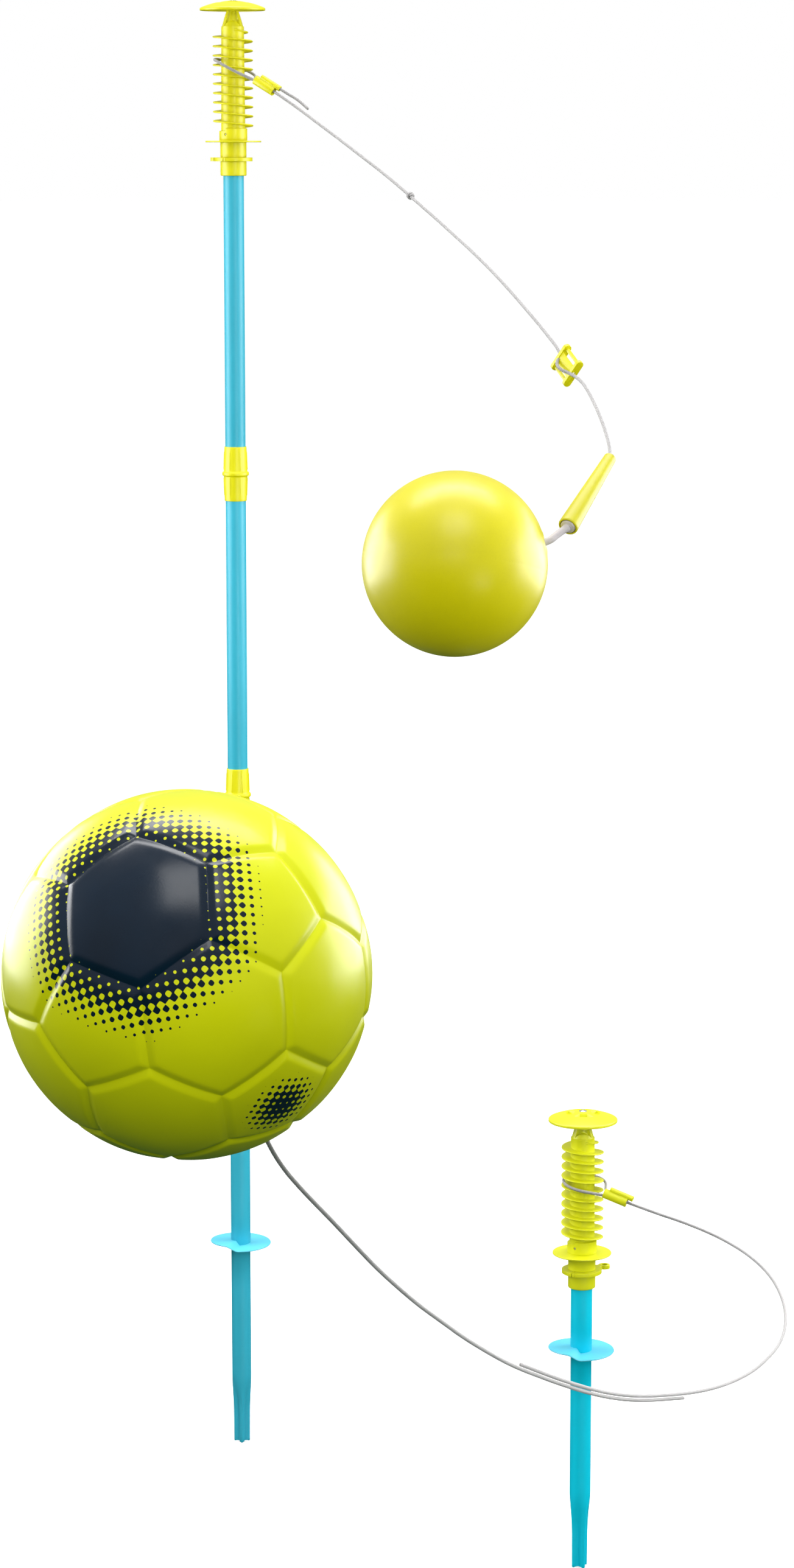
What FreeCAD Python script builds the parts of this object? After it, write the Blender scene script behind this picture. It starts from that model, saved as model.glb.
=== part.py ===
import FreeCAD, Part
import math
import os

# Tetherball set: a tall mast with a ball on a cord, and a short ground station with a football on a cord.
# Units are millimetres. +Z is up, the tall mast's axis is the Z axis, and Z = 0 is the ground line.
# -Y is the side that the players' balls fly on.

os.makedirs("parts", exist_ok=True)
Vector = FreeCAD.Vector
UP = Vector(0, 0, 1)
ORIGIN = Vector(0, 0, 0)

# ---- driving dimensions -------------------------------------------------------------------------
POLE_OD = 22.0              # steel tube
POLE_WALL = 1.2
SECTION_PITCH = 354.0       # from one joint of the mast to the next
SPIKE_TOP = 159.0           # first joint above the ground
SPIKE_TIP = -230.0
DRIVEN_R = 10.8             # below the disc, which sits on the shoulder this leaves
CRIMP_START = -149.0
CRIMP_END = -197.0
SOCKET_DEPTH = 90.0         # how far a pole goes into a head
FIT = 0.05                  # radial running clearance of every plugged joint
SEAT_GAP = 0.1              # between the end of a pole and its stop

SHORT_X, SHORT_Y = 364.0, -392.0

DISC_R = 33.8
DISC_T = 2.0
DISC_RISE = 5.0             # the split disc climbs this much in its one turn
DISC_STEP_ANGLE = -93.0
DISC_BITE = 0.1             # the disc's press on the tube

COUPLING_HALF = 29.5
COUPLING_END_R = 12.0
COUPLING_MID_R = 12.9
COUPLING_RING_R = 14.5
COUPLING_RING_HALF = 2.0
COUPLING_STOP_HALF = 1.0

SLEEVE_R = 14.0             # head socket
SLEEVE_H = 35.5
FLANGE_R = 30.0
FLANGE_T = 1.6
SPIGOT_R = 13.0
SPIGOT_TOP = 46.0
RING_GROOVE_R = 13.4
RING_GROOVE_LOW = 15.3
RING_GROOVE_HIGH = 19.5
COLLAR_R = 15.0
COLLAR_TOP = 50.5
BARREL_LOW_R = 12.9
BARREL_TOP_R = 12.1
BARREL_TOP = 157.5
NECK_TOP = 173.8
NECK_LOW_R = 11.8
NECK_TOP_R = 6.6
FIN_R = 21.6
FIN_START_R = 14.6
FIN_STUB_R = 17.8
FIN_T = 1.5
FIN_PITCH = 9.85
FIN_FIRST_LEFT = 146.7      # middle of the fin where it first passes angle 180 at full width
FIN_TOP_ANGLE = -80.0
FIN_HALF_TURNS = 21
CAP_R = 35.0
CAP_TOP = 184.4
CAP_RIM_T = 3.0
STEM_R = 5.5
PIN_R = 2.0
PIN_LENGTH = 14.0
PIN_HEAD_R = 4.2
PIN_HEAD_H = 1.5
SCREW_ANGLE = 237.0
SCREW_Z = 43.8
SCREW_R = 1.25
SCREW_STEPS = 8             # points to half a turn of a screw-shaped edge

EYE_DISTANCE = 28.0         # lock ring's eye, from the mast's axis
EYE_R = 5.8
EYE_HOLE_R = 3.4
LOCK_RING_R = 20.4
LOCK_RING_T = 4.0

CORD_D = 3.0
TAIL_D = 6.0
CLAMP_LENGTH = 25.0
CLAMP_R = 5.0
CLAMP_BORE_R = 3.4
CLAMP_SIDE_R = 2.9
CLAMP_SIDE_BORE_R = 1.65
CLAMP_SIDE_OFFSET = 5.9
CLAMP_SIDE_SHIFT = 5.0      # the small tube stands this much further out along the cord
CLAMP_WEB_R = 3.3
KNOT_R = 3.6
KNOT_HALF = 3.5

ADJUSTER_PLATE = (7.4, 27.0, 3.2)           # depth, width, thickness of an end plate
ADJUSTER_PLATE_ROUND = 3.4
ADJUSTER_BAR = (2.8, 2.4)
ADJUSTER_BAR_Y = 9.8                        # the bars stand this far from the middle
ADJUSTER_FLOOR_W = 11.6                     # the floor leaves a slot beside each bar
ADJUSTER_FLOOR_T = 1.2
ADJUSTER_HOLE_R = 2.2

GRIP_TOP_R = 5.2
GRIP_LOW_R = 8.3
GRIP_BORE_R = 4.1
GRIP_MOUTH_R = 6.7
GRIP_MOUTH_DEPTH = 8.0
PLUG_R = 6.6
PLUG_LIP_R = 6.9

TETHER_BALL_R = 75.0
TETHER_BALL_WALL = 3.0
FOOTBALL_R = 110.0
FOOTBALL_COVER_T = 2.0
FOOTBALL_BLADDER_T = 0.9
LUG_HOLE_R = 8.0
LUG_LIP_R = 10.0
LUG_BORE_R = 5.0
VALVE_HOLE_R = 4.5
VALVE_R = 4.4
NEEDLE_R = 0.8

# ---- worked out from them -----------------------------------------------------------------------
POLE_R = POLE_OD / 2
BORE_R = POLE_R + FIT
JOINT_LEVELS = [SPIKE_TOP + SECTION_PITCH * n for n in range(3)]
TALL_HEAD_Z = JOINT_LEVELS[2] + 320.0
SHORT_HEAD_Z = SPIKE_TOP - SOCKET_DEPTH
TALL = Vector(0, 0, TALL_HEAD_Z)
SHORT = Vector(SHORT_X, SHORT_Y, SHORT_HEAD_Z)

TETHER_BALL = Vector(222, -1103, 887)
BALL_ENTRY = Vector(0.970, -0.053, 0.236).normalize()
FOOTBALL = Vector(51, -1960, 735)
LUG_WAY = Vector(0.30, 0.52, -0.80).normalize()
VALVE_WAY = Vector(-0.2, 0.35, 0.915).normalize()


# ---- helpers ------------------------------------------------------------------------------------
def save(name, shape):
    shape.exportStep("parts/" + name + ".step")
    box = shape.BoundBox
    report = (name, len(shape.Solids), shape.isValid(), shape.Volume / 1000, box.ZMin, box.ZMax)
    print("%-24s solids %d valid %s %8.2f cm3  z %7.1f to %7.1f" % report)


def ring(outer, inner, low, high):
    """A plain tube about Z."""
    body = Part.makeCylinder(outer, high - low, Vector(0, 0, low))
    if inner > 0:
        body = body.cut(Part.makeCylinder(inner, high - low, Vector(0, 0, low)))
    return body


def turned(points):
    """A solid of revolution from (radius, height) corners; (radius, height, "arc") is an arc's middle."""
    closed = points + points[:1]
    edges = []
    index = 0
    while index < len(closed) - 1:
        here = Vector(closed[index][0], 0, closed[index][1])
        after = Vector(closed[index + 1][0], 0, closed[index + 1][1])
        if len(closed[index + 1]) == 3:
            last = Vector(closed[index + 2][0], 0, closed[index + 2][1])
            edges.append(Part.Arc(here, after, last).toShape())
            index += 2
        else:
            edges.append(Part.LineSegment(here, after).toShape())
            index += 1
    return Part.Face(Part.Wire(edges)).revolve(ORIGIN, UP, 360)


def rod(start, end, radius):
    along = end.sub(start)
    return Part.makeCylinder(radius, along.Length, start, along)


def polar(radius, angle, z):
    turn = math.radians(angle)
    return Vector(radius * math.cos(turn), radius * math.sin(turn), z)


def moved(shape, place):
    copy = shape.copy()
    copy.translate(place)
    return copy


def turned_about_z(shape, angle):
    copy = shape.copy()
    copy.rotate(ORIGIN, UP, angle)
    return copy


def screw_edge(start_r, end_r, start_angle, end_angle, start_z, climb):
    """A smooth edge winding about Z, its radius and height changing evenly with the angle."""
    points = []
    for step in range(SCREW_STEPS + 1):
        share = step / SCREW_STEPS
        radius = start_r + (end_r - start_r) * share
        angle = start_angle + (end_angle - start_angle) * share
        points.append(polar(radius, angle, start_z + climb * share))
    curve = Part.BSplineCurve()
    curve.interpolate(points)
    return curve.toShape()


def screw_plate(inner, outer_start, outer_end, start_angle, end_angle, start_z, climb, thickness):
    """Half a turn or less of a screw-shaped plate, thickness measured along Z."""
    inside = screw_edge(inner, inner, start_angle, end_angle, start_z, climb)
    outside = screw_edge(outer_start, outer_end, start_angle, end_angle, start_z, climb)
    return Part.makeRuledSurface(inside, outside).extrude(Vector(0, 0, thickness))


# ---- cords --------------------------------------------------------------------------------------
def cord_path(points):
    """Straight runs joined by tangent arcs, each arc as large as its two runs allow."""
    edges = []
    radii = []
    start = points[0]
    for before, corner, after in zip(points, points[1:], points[2:]):
        came = corner.sub(before)
        goes = after.sub(corner)
        reach = 0.45 * min(came.Length, goes.Length)
        turn = came.getAngle(goes)
        radius = reach / math.tan(turn / 2)
        radii.append(radius)
        came.normalize()
        goes.normalize()
        arc_start = corner.sub(came * reach)
        arc_end = corner.add(goes * reach)
        inward = goes.sub(came)
        inward.normalize()
        middle = corner.add(inward * (radius / math.cos(turn / 2) - radius))
        edges.append(Part.LineSegment(start, arc_start).toShape())
        edges.append(Part.Arc(arc_start, middle, arc_end).toShape())
        start = arc_end
    edges.append(Part.LineSegment(start, points[-1]).toShape())
    return Part.Wire(edges), radii


def cord(name, points, diameter=CORD_D):
    route = [Vector(*p) for p in points]
    path, radii = cord_path(route)
    first = route[1].sub(route[0])
    circle = Part.Wire(Part.Circle(route[0], first, diameter / 2).toShape())
    tube = path.makePipeShell([circle], True, True)
    ideal = math.pi * diameter ** 2 / 4 * path.Length
    print("%-26s length %.0f, volume/ideal %.4f, radii from %.0f" % (
        name, path.Length, tube.Volume / ideal, min(radii)))
    print("    radii " + " ".join("%.0f" % r for r in radii))
    save(name, tube)
    return tube


def clamp_side(start, way):
    """The near end of a clamp's small tube, which lies above the large one."""
    above = UP.sub(way * UP.dot(way)).normalize()
    return start.add(above * CLAMP_SIDE_OFFSET).add(way * CLAMP_SIDE_SHIFT)


def clamp(start, way):
    """A double tube: the loop's two strands in the large bore, the free end in the small one."""
    end = start.add(way * CLAMP_LENGTH)
    side_start = clamp_side(start, way)
    side_end = side_start.add(way * CLAMP_LENGTH)
    web_start = start.add(side_start.sub(start) * 0.5).add(way * (CLAMP_SIDE_SHIFT / 2))
    web_end = end.add(side_start.sub(start) * 0.5).sub(way * (CLAMP_SIDE_SHIFT / 2))
    body = rod(start, end, CLAMP_R).fuse(rod(side_start, side_end, CLAMP_SIDE_R))
    body = body.fuse(rod(web_start, web_end, CLAMP_WEB_R)).removeSplitter()
    return body.cut(rod(start, end, CLAMP_BORE_R)).cut(rod(side_start, side_end, CLAMP_SIDE_BORE_R))


# ---- ground pieces ------------------------------------------------------------------------------
def lobed_wire(z, peak, flank, valley):
    """A closed outline of eight arcs: four lobes at 0, 90, 180 and 270 degrees."""
    edges = []
    for quarter in range(4):
        base = 90 * quarter
        before, after, beyond = [polar(flank, base + turn, z) for turn in (-22.5, 22.5, 67.5)]
        edges.append(Part.Arc(before, polar(peak, base, z), after).toShape())
        edges.append(Part.Arc(after, polar(valley, base + 45, z), beyond).toShape())
    return Part.Wire(edges)


def spike(twist):
    tube = ring(POLE_R, POLE_R - POLE_WALL, 0, SPIKE_TOP - SEAT_GAP - COUPLING_STOP_HALF)
    tube = tube.fuse(ring(DRIVEN_R, POLE_R - POLE_WALL, CRIMP_START, 0))
    round_end = lobed_wire(CRIMP_START, DRIVEN_R, DRIVEN_R, DRIVEN_R)
    pressed = lobed_wire(CRIMP_END, 9.2, 7.0, 4.6)
    tip = lobed_wire(SPIKE_TIP, 9.0, 6.6, 4.2)
    taper = Part.makeLoft([round_end, pressed], True, True)
    point = Part.makeLoft([pressed, tip], True, True)
    whole = tube.fuse(taper).fuse(point)
    return turned_about_z(whole, twist)


def ground_disc():
    inner = POLE_R - DISC_BITE
    climb = DISC_RISE / 2
    halves = []
    for n in range(2):
        start = DISC_STEP_ANGLE + 180.0 * n
        halves.append(screw_plate(inner, DISC_R, DISC_R, start, start + 180, climb * n, climb, DISC_T))
    return halves[0].fuse(halves[1])


def coupling():
    half, stop = COUPLING_HALF, COUPLING_STOP_HALF
    outer = [
        (0, -half), (COUPLING_END_R, -half), (COUPLING_MID_R, -COUPLING_RING_HALF),
        (COUPLING_RING_R, -COUPLING_RING_HALF), (COUPLING_RING_R, COUPLING_RING_HALF),
        (COUPLING_MID_R, COUPLING_RING_HALF), (COUPLING_END_R, half), (0, half),
    ]
    body = turned(outer)
    body = body.cut(ring(BORE_R, 0, -half, -stop)).cut(ring(BORE_R, 0, stop, half))
    return body.cut(ring(POLE_R - POLE_WALL, 0, -half, half))


# ---- head ---------------------------------------------------------------------------------------
def head_socket():
    body = turned([
        (BORE_R, 0), (SLEEVE_R - 1.4, 0), (SLEEVE_R - 0.4, 0.4, "arc"), (SLEEVE_R, 1.4),
        (SLEEVE_R, RING_GROOVE_LOW), (RING_GROOVE_R, RING_GROOVE_LOW), (RING_GROOVE_R, RING_GROOVE_HIGH),
        (SLEEVE_R, RING_GROOVE_HIGH), (SLEEVE_R, SLEEVE_H), (FLANGE_R, SLEEVE_H),
        (FLANGE_R, SLEEVE_H + FLANGE_T), (SPIGOT_R, SLEEVE_H + FLANGE_T), (SPIGOT_R, SPIGOT_TOP),
        (BORE_R, SPIGOT_TOP),
    ])
    return body.cut(screw_shank(SCREW_R))


def screw_shank(radius):
    return rod(polar(BORE_R - 1, SCREW_ANGLE, SCREW_Z), polar(COLLAR_R + 1, SCREW_ANGLE, SCREW_Z), radius)


def fin():
    """The left-hand screw fin: its first half turn is a narrow stub, and it ends on the collar."""
    inner = BARREL_TOP_R - 0.6
    top = FIN_FIRST_LEFT + FIN_PITCH * (180.0 - FIN_TOP_ANGLE) / 360.0 - FIN_T / 2
    drop = -FIN_PITCH / 2
    pieces = []
    for half in range(FIN_HALF_TURNS):
        start = FIN_TOP_ANGLE + 180.0 * half
        radii = [FIN_START_R, FIN_STUB_R] if half == 0 else [FIN_R, FIN_R]
        level = top + drop * half
        pieces.append(screw_plate(inner, radii[0], radii[1], start, start + 180, level, drop, FIN_T))
    return pieces


def head_barrel():
    outer = turned([
        (0, SLEEVE_H + FLANGE_T), (COLLAR_R, SLEEVE_H + FLANGE_T), (COLLAR_R, COLLAR_TOP),
        (BARREL_LOW_R, COLLAR_TOP), (BARREL_TOP_R, BARREL_TOP), (NECK_LOW_R, BARREL_TOP),
        (10.2, 167.0, "arc"), (NECK_TOP_R, NECK_TOP), (0, NECK_TOP),
    ])
    body = outer.fuse(fin())
    body = body.cut(ring(SPIGOT_R + FIT, 0, SLEEVE_H, SPIGOT_TOP + 0.2))
    body = body.cut(ring(BORE_R, 0, SPIGOT_TOP, SOCKET_DEPTH))
    body = body.cut(ring(10.0, 0, SOCKET_DEPTH + 2.5, BARREL_TOP - 2.5))
    body = body.cut(ring(STEM_R + FIT, 0, BARREL_TOP - 4, NECK_TOP + 1))
    for side in (-1, 1):
        window = Part.makeBox(14.4, 8.0, 9.0, Vector(-7.2, -4.0, 0))
        arch = Part.makeCylinder(12.0, 8.0, Vector(0, -4.0, -7.6), Vector(0, 1, 0))
        opening = moved(window.cut(arch), Vector(0, side * (STEM_R + 0.6 + 4.0), 162.4))
        body = body.cut(opening)
    notch_low = COLLAR_TOP - 2.7
    notch = ring(COLLAR_R + 1, BARREL_LOW_R + 0.05, notch_low, COLLAR_TOP + 0.1)
    sector = Part.makeBox(40, 40, 10, Vector(0, 0, notch_low - 1))
    notch = notch.common(turned_about_z(sector, 147.0))
    body = body.cut(notch).cut(screw_shank(SCREW_R))
    return body


def head_cap():
    """The mushroom cap with its stem; four curved recesses lighten the dome's top."""
    rim = NECK_TOP + 0.2
    dome = turned([
        (0, rim), (CAP_R - 1.2, rim), (CAP_R, rim + CAP_RIM_T / 2, "arc"), (CAP_R - 0.8, rim + CAP_RIM_T),
        (18.0, rim + 8.5, "arc"), (0, CAP_TOP),
    ])
    recess = ring(17.0, 9.0, CAP_TOP - 4.5, CAP_TOP + 2)
    bar = Part.makeBox(50, 7.0, 20, Vector(-25, -3.5, CAP_TOP - 12))
    recess = recess.cut(bar).cut(turned_about_z(bar, 90))
    stem = ring(STEM_R, 0, BARREL_TOP - 3.5, rim + 0.5)
    body = dome.cut(turned_about_z(recess, 30)).fuse(stem)
    return body.cut(ring(PIN_R + FIT, 0, CAP_TOP - PIN_LENGTH, CAP_TOP + 1))


def cap_pin():
    low, seat = CAP_TOP - PIN_LENGTH + 0.3, CAP_TOP + 0.1
    return turned([
        (0, low), (PIN_R, low), (PIN_R, seat), (PIN_HEAD_R, seat),
        (PIN_HEAD_R - 0.8, seat + 1.1), (PIN_HEAD_R - 2.4, seat + PIN_HEAD_H), (0, seat + PIN_HEAD_H),
    ])


def head_screw():
    tip = polar(BORE_R + 0.25, SCREW_ANGLE, SCREW_Z)
    return rod(tip, polar(COLLAR_R - 0.7, SCREW_ANGLE, SCREW_Z), SCREW_R)


def lock_ring(eye_angle, latch_angle):
    """A split ring turning in the sleeve's groove, with an eye to clip the cord in and a snap latch."""
    low = (RING_GROOVE_LOW + RING_GROOVE_HIGH - LOCK_RING_T) / 2
    high = low + LOCK_RING_T
    inner = RING_GROOVE_R + 0.08
    body = ring(LOCK_RING_R, 0, low, high)
    eye = moved(ring(EYE_R, 0, low, high), polar(EYE_DISTANCE, eye_angle, 0))
    neck = Part.makeBox(EYE_DISTANCE - 15, 7.0, LOCK_RING_T, Vector(15, -3.5, low))
    latch = Part.makeBox(6.6, 5.0, LOCK_RING_T, Vector(inner + 0.6, -2.5, low))
    split = Part.makeBox(10, 1.0, LOCK_RING_T + 2, Vector(inner - 1, -0.5, low - 1))
    body = body.fuse(eye).fuse(turned_about_z(neck, eye_angle)).fuse(turned_about_z(latch, latch_angle))
    body = body.cut(ring(inner, 0, low - 1, high + 1)).cut(turned_about_z(split, latch_angle))
    hole = moved(ring(EYE_HOLE_R, 0, low - 1, high + 1), polar(EYE_DISTANCE, eye_angle, 0))
    return body.cut(hole).removeSplitter()


def make_head(prefix, place, eye_angle, latch_angle):
    save(prefix + "_head_socket", moved(head_socket(), place))
    save(prefix + "_head_barrel", moved(head_barrel(), place))
    save(prefix + "_head_cap", moved(head_cap(), place))
    save(prefix + "_cap_pin", moved(cap_pin(), place))
    save(prefix + "_head_screw", moved(head_screw(), place))
    save(prefix + "_lock_ring", moved(lock_ring(eye_angle, latch_angle), place))


def make_posts():
    short = Vector(SHORT_X, SHORT_Y, 0)
    save("tall_spike", spike(0))
    save("tall_ground_disc", ground_disc())
    save("short_spike", moved(spike(30), short))
    save("short_ground_disc", moved(ground_disc(), short))
    for name, level in zip(("spike_coupling", "lower_coupling", "upper_coupling"), JOINT_LEVELS):
        save(name, moved(coupling(), Vector(0, 0, level)))
    inside = POLE_R - POLE_WALL
    gap = COUPLING_STOP_HALF
    save("lower_pole", ring(POLE_R, inside, JOINT_LEVELS[0] + gap + SEAT_GAP, JOINT_LEVELS[1] - gap))
    save("middle_pole", ring(POLE_R, inside, JOINT_LEVELS[1] + gap + SEAT_GAP, JOINT_LEVELS[2] - gap))
    top = TALL_HEAD_Z + SOCKET_DEPTH
    save("upper_pole", ring(POLE_R, inside, JOINT_LEVELS[2] + gap + SEAT_GAP, top - SEAT_GAP))


# ---- tall tether --------------------------------------------------------------------------------
TALL_CLAMP = Vector(25, -28, 101).add(TALL)
TALL_CLAMP_WAY = Vector(21, -9, -13).normalize()
TALL_LOOP = [                               # about the head's socket
    (29, -31.5, 98), (23, -29, 100.8), (12, -27, 106), (0, -25, 111.5), (-9, -22.5, 116.5),
    (-15.5, -16.5, 120.2), (-19, -8.5, 122.2), (-19.6, 0, 122.8), (-18, 9, 123.2), (-13.6, 18.2, 123.1),
    (-5, 24.2, 120), (5, 26, 115.5), (14.5, 22.5, 111.5), (21, 14, 108), (24, 4, 105.6),
    (24.2, -7, 104), (24.4, -17, 102.6), (26, -25.5, 101.2), (31, -28.8, 98.6),
]
TALL_CORD = [
    (42, -35.5, 1277.5), (67, -57, 1261), (90, -87, 1244), (115, -125, 1226), (135, -161, 1211),
    (158, -205, 1194), (177, -246, 1179), (197, -294, 1162), (215, -339, 1147), (231, -384, 1133),
    (246, -430, 1120), (260, -476, 1107), (273, -524, 1094), (285, -571, 1081), (296, -619, 1068.5),
    (306, -664, 1057), (314, -703, 1047), (319.5, -727, 1040), (321.5, -739, 1034), (317, -746, 1028),
    (320, -755, 1023), (330, -762, 1019.5), (338, -782, 1014.5), (342, -813, 1008.5), (345.5, -853, 1000.5),
    (348.5, -899, 992), (350.5, -943, 983.5), (351.5, -982, 976), (351.5, -1008, 970.5), (350, -1022, 966.5),
    (346.5, -1033, 961.5),
]
TALL_FREE_END = [(60, -43.5, 1273), (68, -49.5, 1268.5), (75.5, -56.5, 1263), (82, -64.5, 1257)]
FREE_END_GRIP = 12.0                        # how much of the free end is inside its tube
KNOT_AT = Vector(189, -274, 1169.3)
KNOT_WAY = Vector(20, -48, -17).normalize()
ADJUSTER_TOP = Vector(321.7, -740.0, 1033.0)
ADJUSTER_LOW = Vector(331.5, -760.0, 1019.6)
GRIP_TOP = Vector(350.5, -1026, 966)
GRIP_LOW = Vector(313, -1095, 916)


def make_tall_tether():
    save("tall_cord_clamp", clamp(TALL_CLAMP, TALL_CLAMP_WAY))
    cord("tall_cord_loop", [tuple(Vector(*p).add(TALL)) for p in TALL_LOOP])
    cord("tall_cord", TALL_CORD)
    mouth = clamp_side(TALL_CLAMP, TALL_CLAMP_WAY).add(TALL_CLAMP_WAY * CLAMP_LENGTH)
    gripped = [tuple(mouth.sub(TALL_CLAMP_WAY * FREE_END_GRIP)), tuple(mouth.add(TALL_CLAMP_WAY * 2.0))]
    cord("tall_cord_free_end", gripped + TALL_FREE_END)
    save("cord_knot", rod(KNOT_AT.sub(KNOT_WAY * KNOT_HALF), KNOT_AT.add(KNOT_WAY * KNOT_HALF), KNOT_R))
    save("cord_adjuster", adjuster())
    make_grip()
    make_tether_ball()


def adjuster():
    """A ladder-shaped runner: two rounded end plates with a hole for the cord, two bars and a thin floor
    between them."""
    along = ADJUSTER_LOW.sub(ADJUSTER_TOP)
    length = along.Length
    depth, width, thickness = ADJUSTER_PLATE
    bar_depth, bar_width = ADJUSTER_BAR
    plate = Part.makeBox(depth, width, thickness, Vector(-depth / 2, -width / 2, -thickness / 2))
    corners = [e for e in plate.Edges if abs(e.tangentAt(e.FirstParameter).z) > 0.9]
    plate = plate.makeFillet(ADJUSTER_PLATE_ROUND, corners)
    other = moved(plate, Vector(0, 0, length))
    bars = []
    for y in (-ADJUSTER_BAR_Y, ADJUSTER_BAR_Y):
        bar_at = Vector(-bar_depth / 2, y - bar_width / 2, 0)
        bars.append(Part.makeBox(bar_depth, bar_width, length, bar_at))
    floor_at = Vector(-bar_depth / 2 - ADJUSTER_FLOOR_T, -ADJUSTER_FLOOR_W / 2, 0)
    floor = Part.makeBox(ADJUSTER_FLOOR_T, ADJUSTER_FLOOR_W, length, floor_at)
    hole = Part.makeCylinder(ADJUSTER_HOLE_R, length + 2 * thickness, Vector(0, 0, -thickness))
    body = plate.fuse([other, floor] + bars).cut(hole)
    return placed(body, ADJUSTER_TOP, along, Vector(0.53, -0.34, 0.77))


def placed(shape, place, z_way, y_way):
    """Turns a local shape so that its Z lies along z_way and its Y as near y_way as it can."""
    z_axis = Vector(z_way).normalize()
    x_axis = Vector(y_way).cross(z_axis).normalize()
    y_axis = z_axis.cross(x_axis)
    turn = FreeCAD.Placement(FreeCAD.Matrix(
        x_axis.x, y_axis.x, z_axis.x, place.x,
        x_axis.y, y_axis.y, z_axis.y, place.y,
        x_axis.z, y_axis.z, z_axis.z, place.z,
        0, 0, 0, 1,
    ))
    copy = shape.copy()
    copy.Placement = turn.multiply(copy.Placement)
    return copy


def make_grip():
    """A tapered sleeve turning on a bush at its top and on a plug in its lower mouth."""
    along = GRIP_LOW.sub(GRIP_TOP)
    length = along.Length
    mouth = length - GRIP_MOUTH_DEPTH
    sleeve = turned([
        (GRIP_BORE_R, 0), (GRIP_TOP_R, 0), (GRIP_LOW_R, length - 1), (GRIP_LOW_R - 0.6, length),
        (GRIP_MOUTH_R, length), (GRIP_MOUTH_R, mouth), (GRIP_BORE_R, mouth - 2),
    ])
    save("grip_sleeve", placed(sleeve, GRIP_TOP, along, UP))
    cord_hole = CORD_D / 2 + 0.1
    neck = GRIP_BORE_R - 0.15
    bush = turned([
        (cord_hole, -1.2), (GRIP_TOP_R - 0.6, -1.2), (GRIP_TOP_R - 0.6, -0.3), (neck, -0.3), (neck, 9),
        (cord_hole, 9),
    ])
    save("grip_top_bush", placed(bush, GRIP_TOP, along, UP))
    plug = turned([
        (0, mouth + 0.5), (PLUG_R, mouth + 0.5), (PLUG_R, length + 0.3), (PLUG_LIP_R, length + 0.3),
        (PLUG_LIP_R, length + 1.4), (0, length + 1.4),
    ])
    save("grip_end_plug", placed(plug, GRIP_TOP, along, UP))


def make_tether_ball():
    def out(distance):
        return TETHER_BALL.add(BALL_ENTRY * (TETHER_BALL_R + distance))
    way = GRIP_LOW.sub(GRIP_TOP).normalize()
    hole_r = TAIL_D / 2 + 0.3
    cord("ball_tail", [tuple(GRIP_LOW.add(way * 1.4)), tuple(out(7)), tuple(out(-8))], TAIL_D)
    inside = Part.makeSphere(TETHER_BALL_R - TETHER_BALL_WALL, TETHER_BALL)
    skin = Part.makeSphere(TETHER_BALL_R, TETHER_BALL).cut(inside)
    save("tether_ball_skin", skin.cut(rod(out(-8), out(7), hole_r)))
    anchor = rod(out(-18), out(-4.2), 9.0)
    save("tether_ball_anchor", anchor.cut(rod(out(-14), out(0), hole_r)))


# ---- short tether -------------------------------------------------------------------------------
SHORT_CLAMP = Vector(20.6, -26, 106).add(SHORT)
SHORT_CLAMP_WAY = Vector(21.8, -7, -7.6).normalize()
SHORT_LOOP = [
    (26.5, -29.2, 103), (19.5, -28, 104.2), (10, -26.8, 105.8), (0, -25.4, 107.2), (-9, -22.3, 108.8),
    (-15.5, -16.5, 110.3), (-19, -8.5, 111.6), (-19.6, 0, 112.4), (-18, 9, 112.9), (-13, 17.5, 113),
    (-5, 23.5, 112.6), (5, 25.3, 111.8), (14.5, 22, 110.8), (21, 14, 109.9), (23.9, 4, 109.2),
    (23.8, -7, 108.6), (22.6, -17, 108), (22.8, -24.2, 107.4), (27.5, -27.4, 105.6),
]
FOOTBALL_ROUTE = [
    (85.6, -1900, 644.8), (93, -1886, 620), (103, -1864, 594), (117, -1833, 568), (133, -1796, 540),
    (148, -1752, 510), (162, -1710, 482), (177, -1664, 454), (192, -1618, 427), (208, -1571, 401),
    (222, -1527, 377), (237, -1480, 353), (253, -1433, 329), (269, -1384, 306), (285, -1337, 285),
    (301, -1288, 263.5), (316, -1239, 243), (333, -1189, 222), (350, -1142, 203), (368, -1094, 185),
    (386, -1048, 169), (406, -1000, 154), (426, -954, 140), (448, -906, 127), (468, -862, 117),
    (488, -817, 109), (506, -775, 104), (522, -731, 101), (536, -690, 100), (546, -647, 101.5),
    (551, -605, 105), (550, -564, 112), (542, -526, 121), (524, -492, 131), (497, -465, 141),
    (465, -446, 150), (433, -435, 158), (403, -424, 166.8),
]
OVERLAP_START = 13
OVERLAP_END = 23
OVERLAP_HALF_GAP = 1.85


def make_short_tether():
    save("short_cord_clamp", clamp(SHORT_CLAMP, SHORT_CLAMP_WAY))
    cord("short_cord_loop", [tuple(Vector(*p).add(SHORT)) for p in SHORT_LOOP])
    ball_side = [(x, y, z - OVERLAP_HALF_GAP) for x, y, z in FOOTBALL_ROUTE[:OVERLAP_END]]
    head_side = [(x, y, z + OVERLAP_HALF_GAP) for x, y, z in FOOTBALL_ROUTE[OVERLAP_START:]]
    cord("football_cord_ball_side", ball_side)
    cord("football_cord_head_side", head_side)
    make_football()


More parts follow.
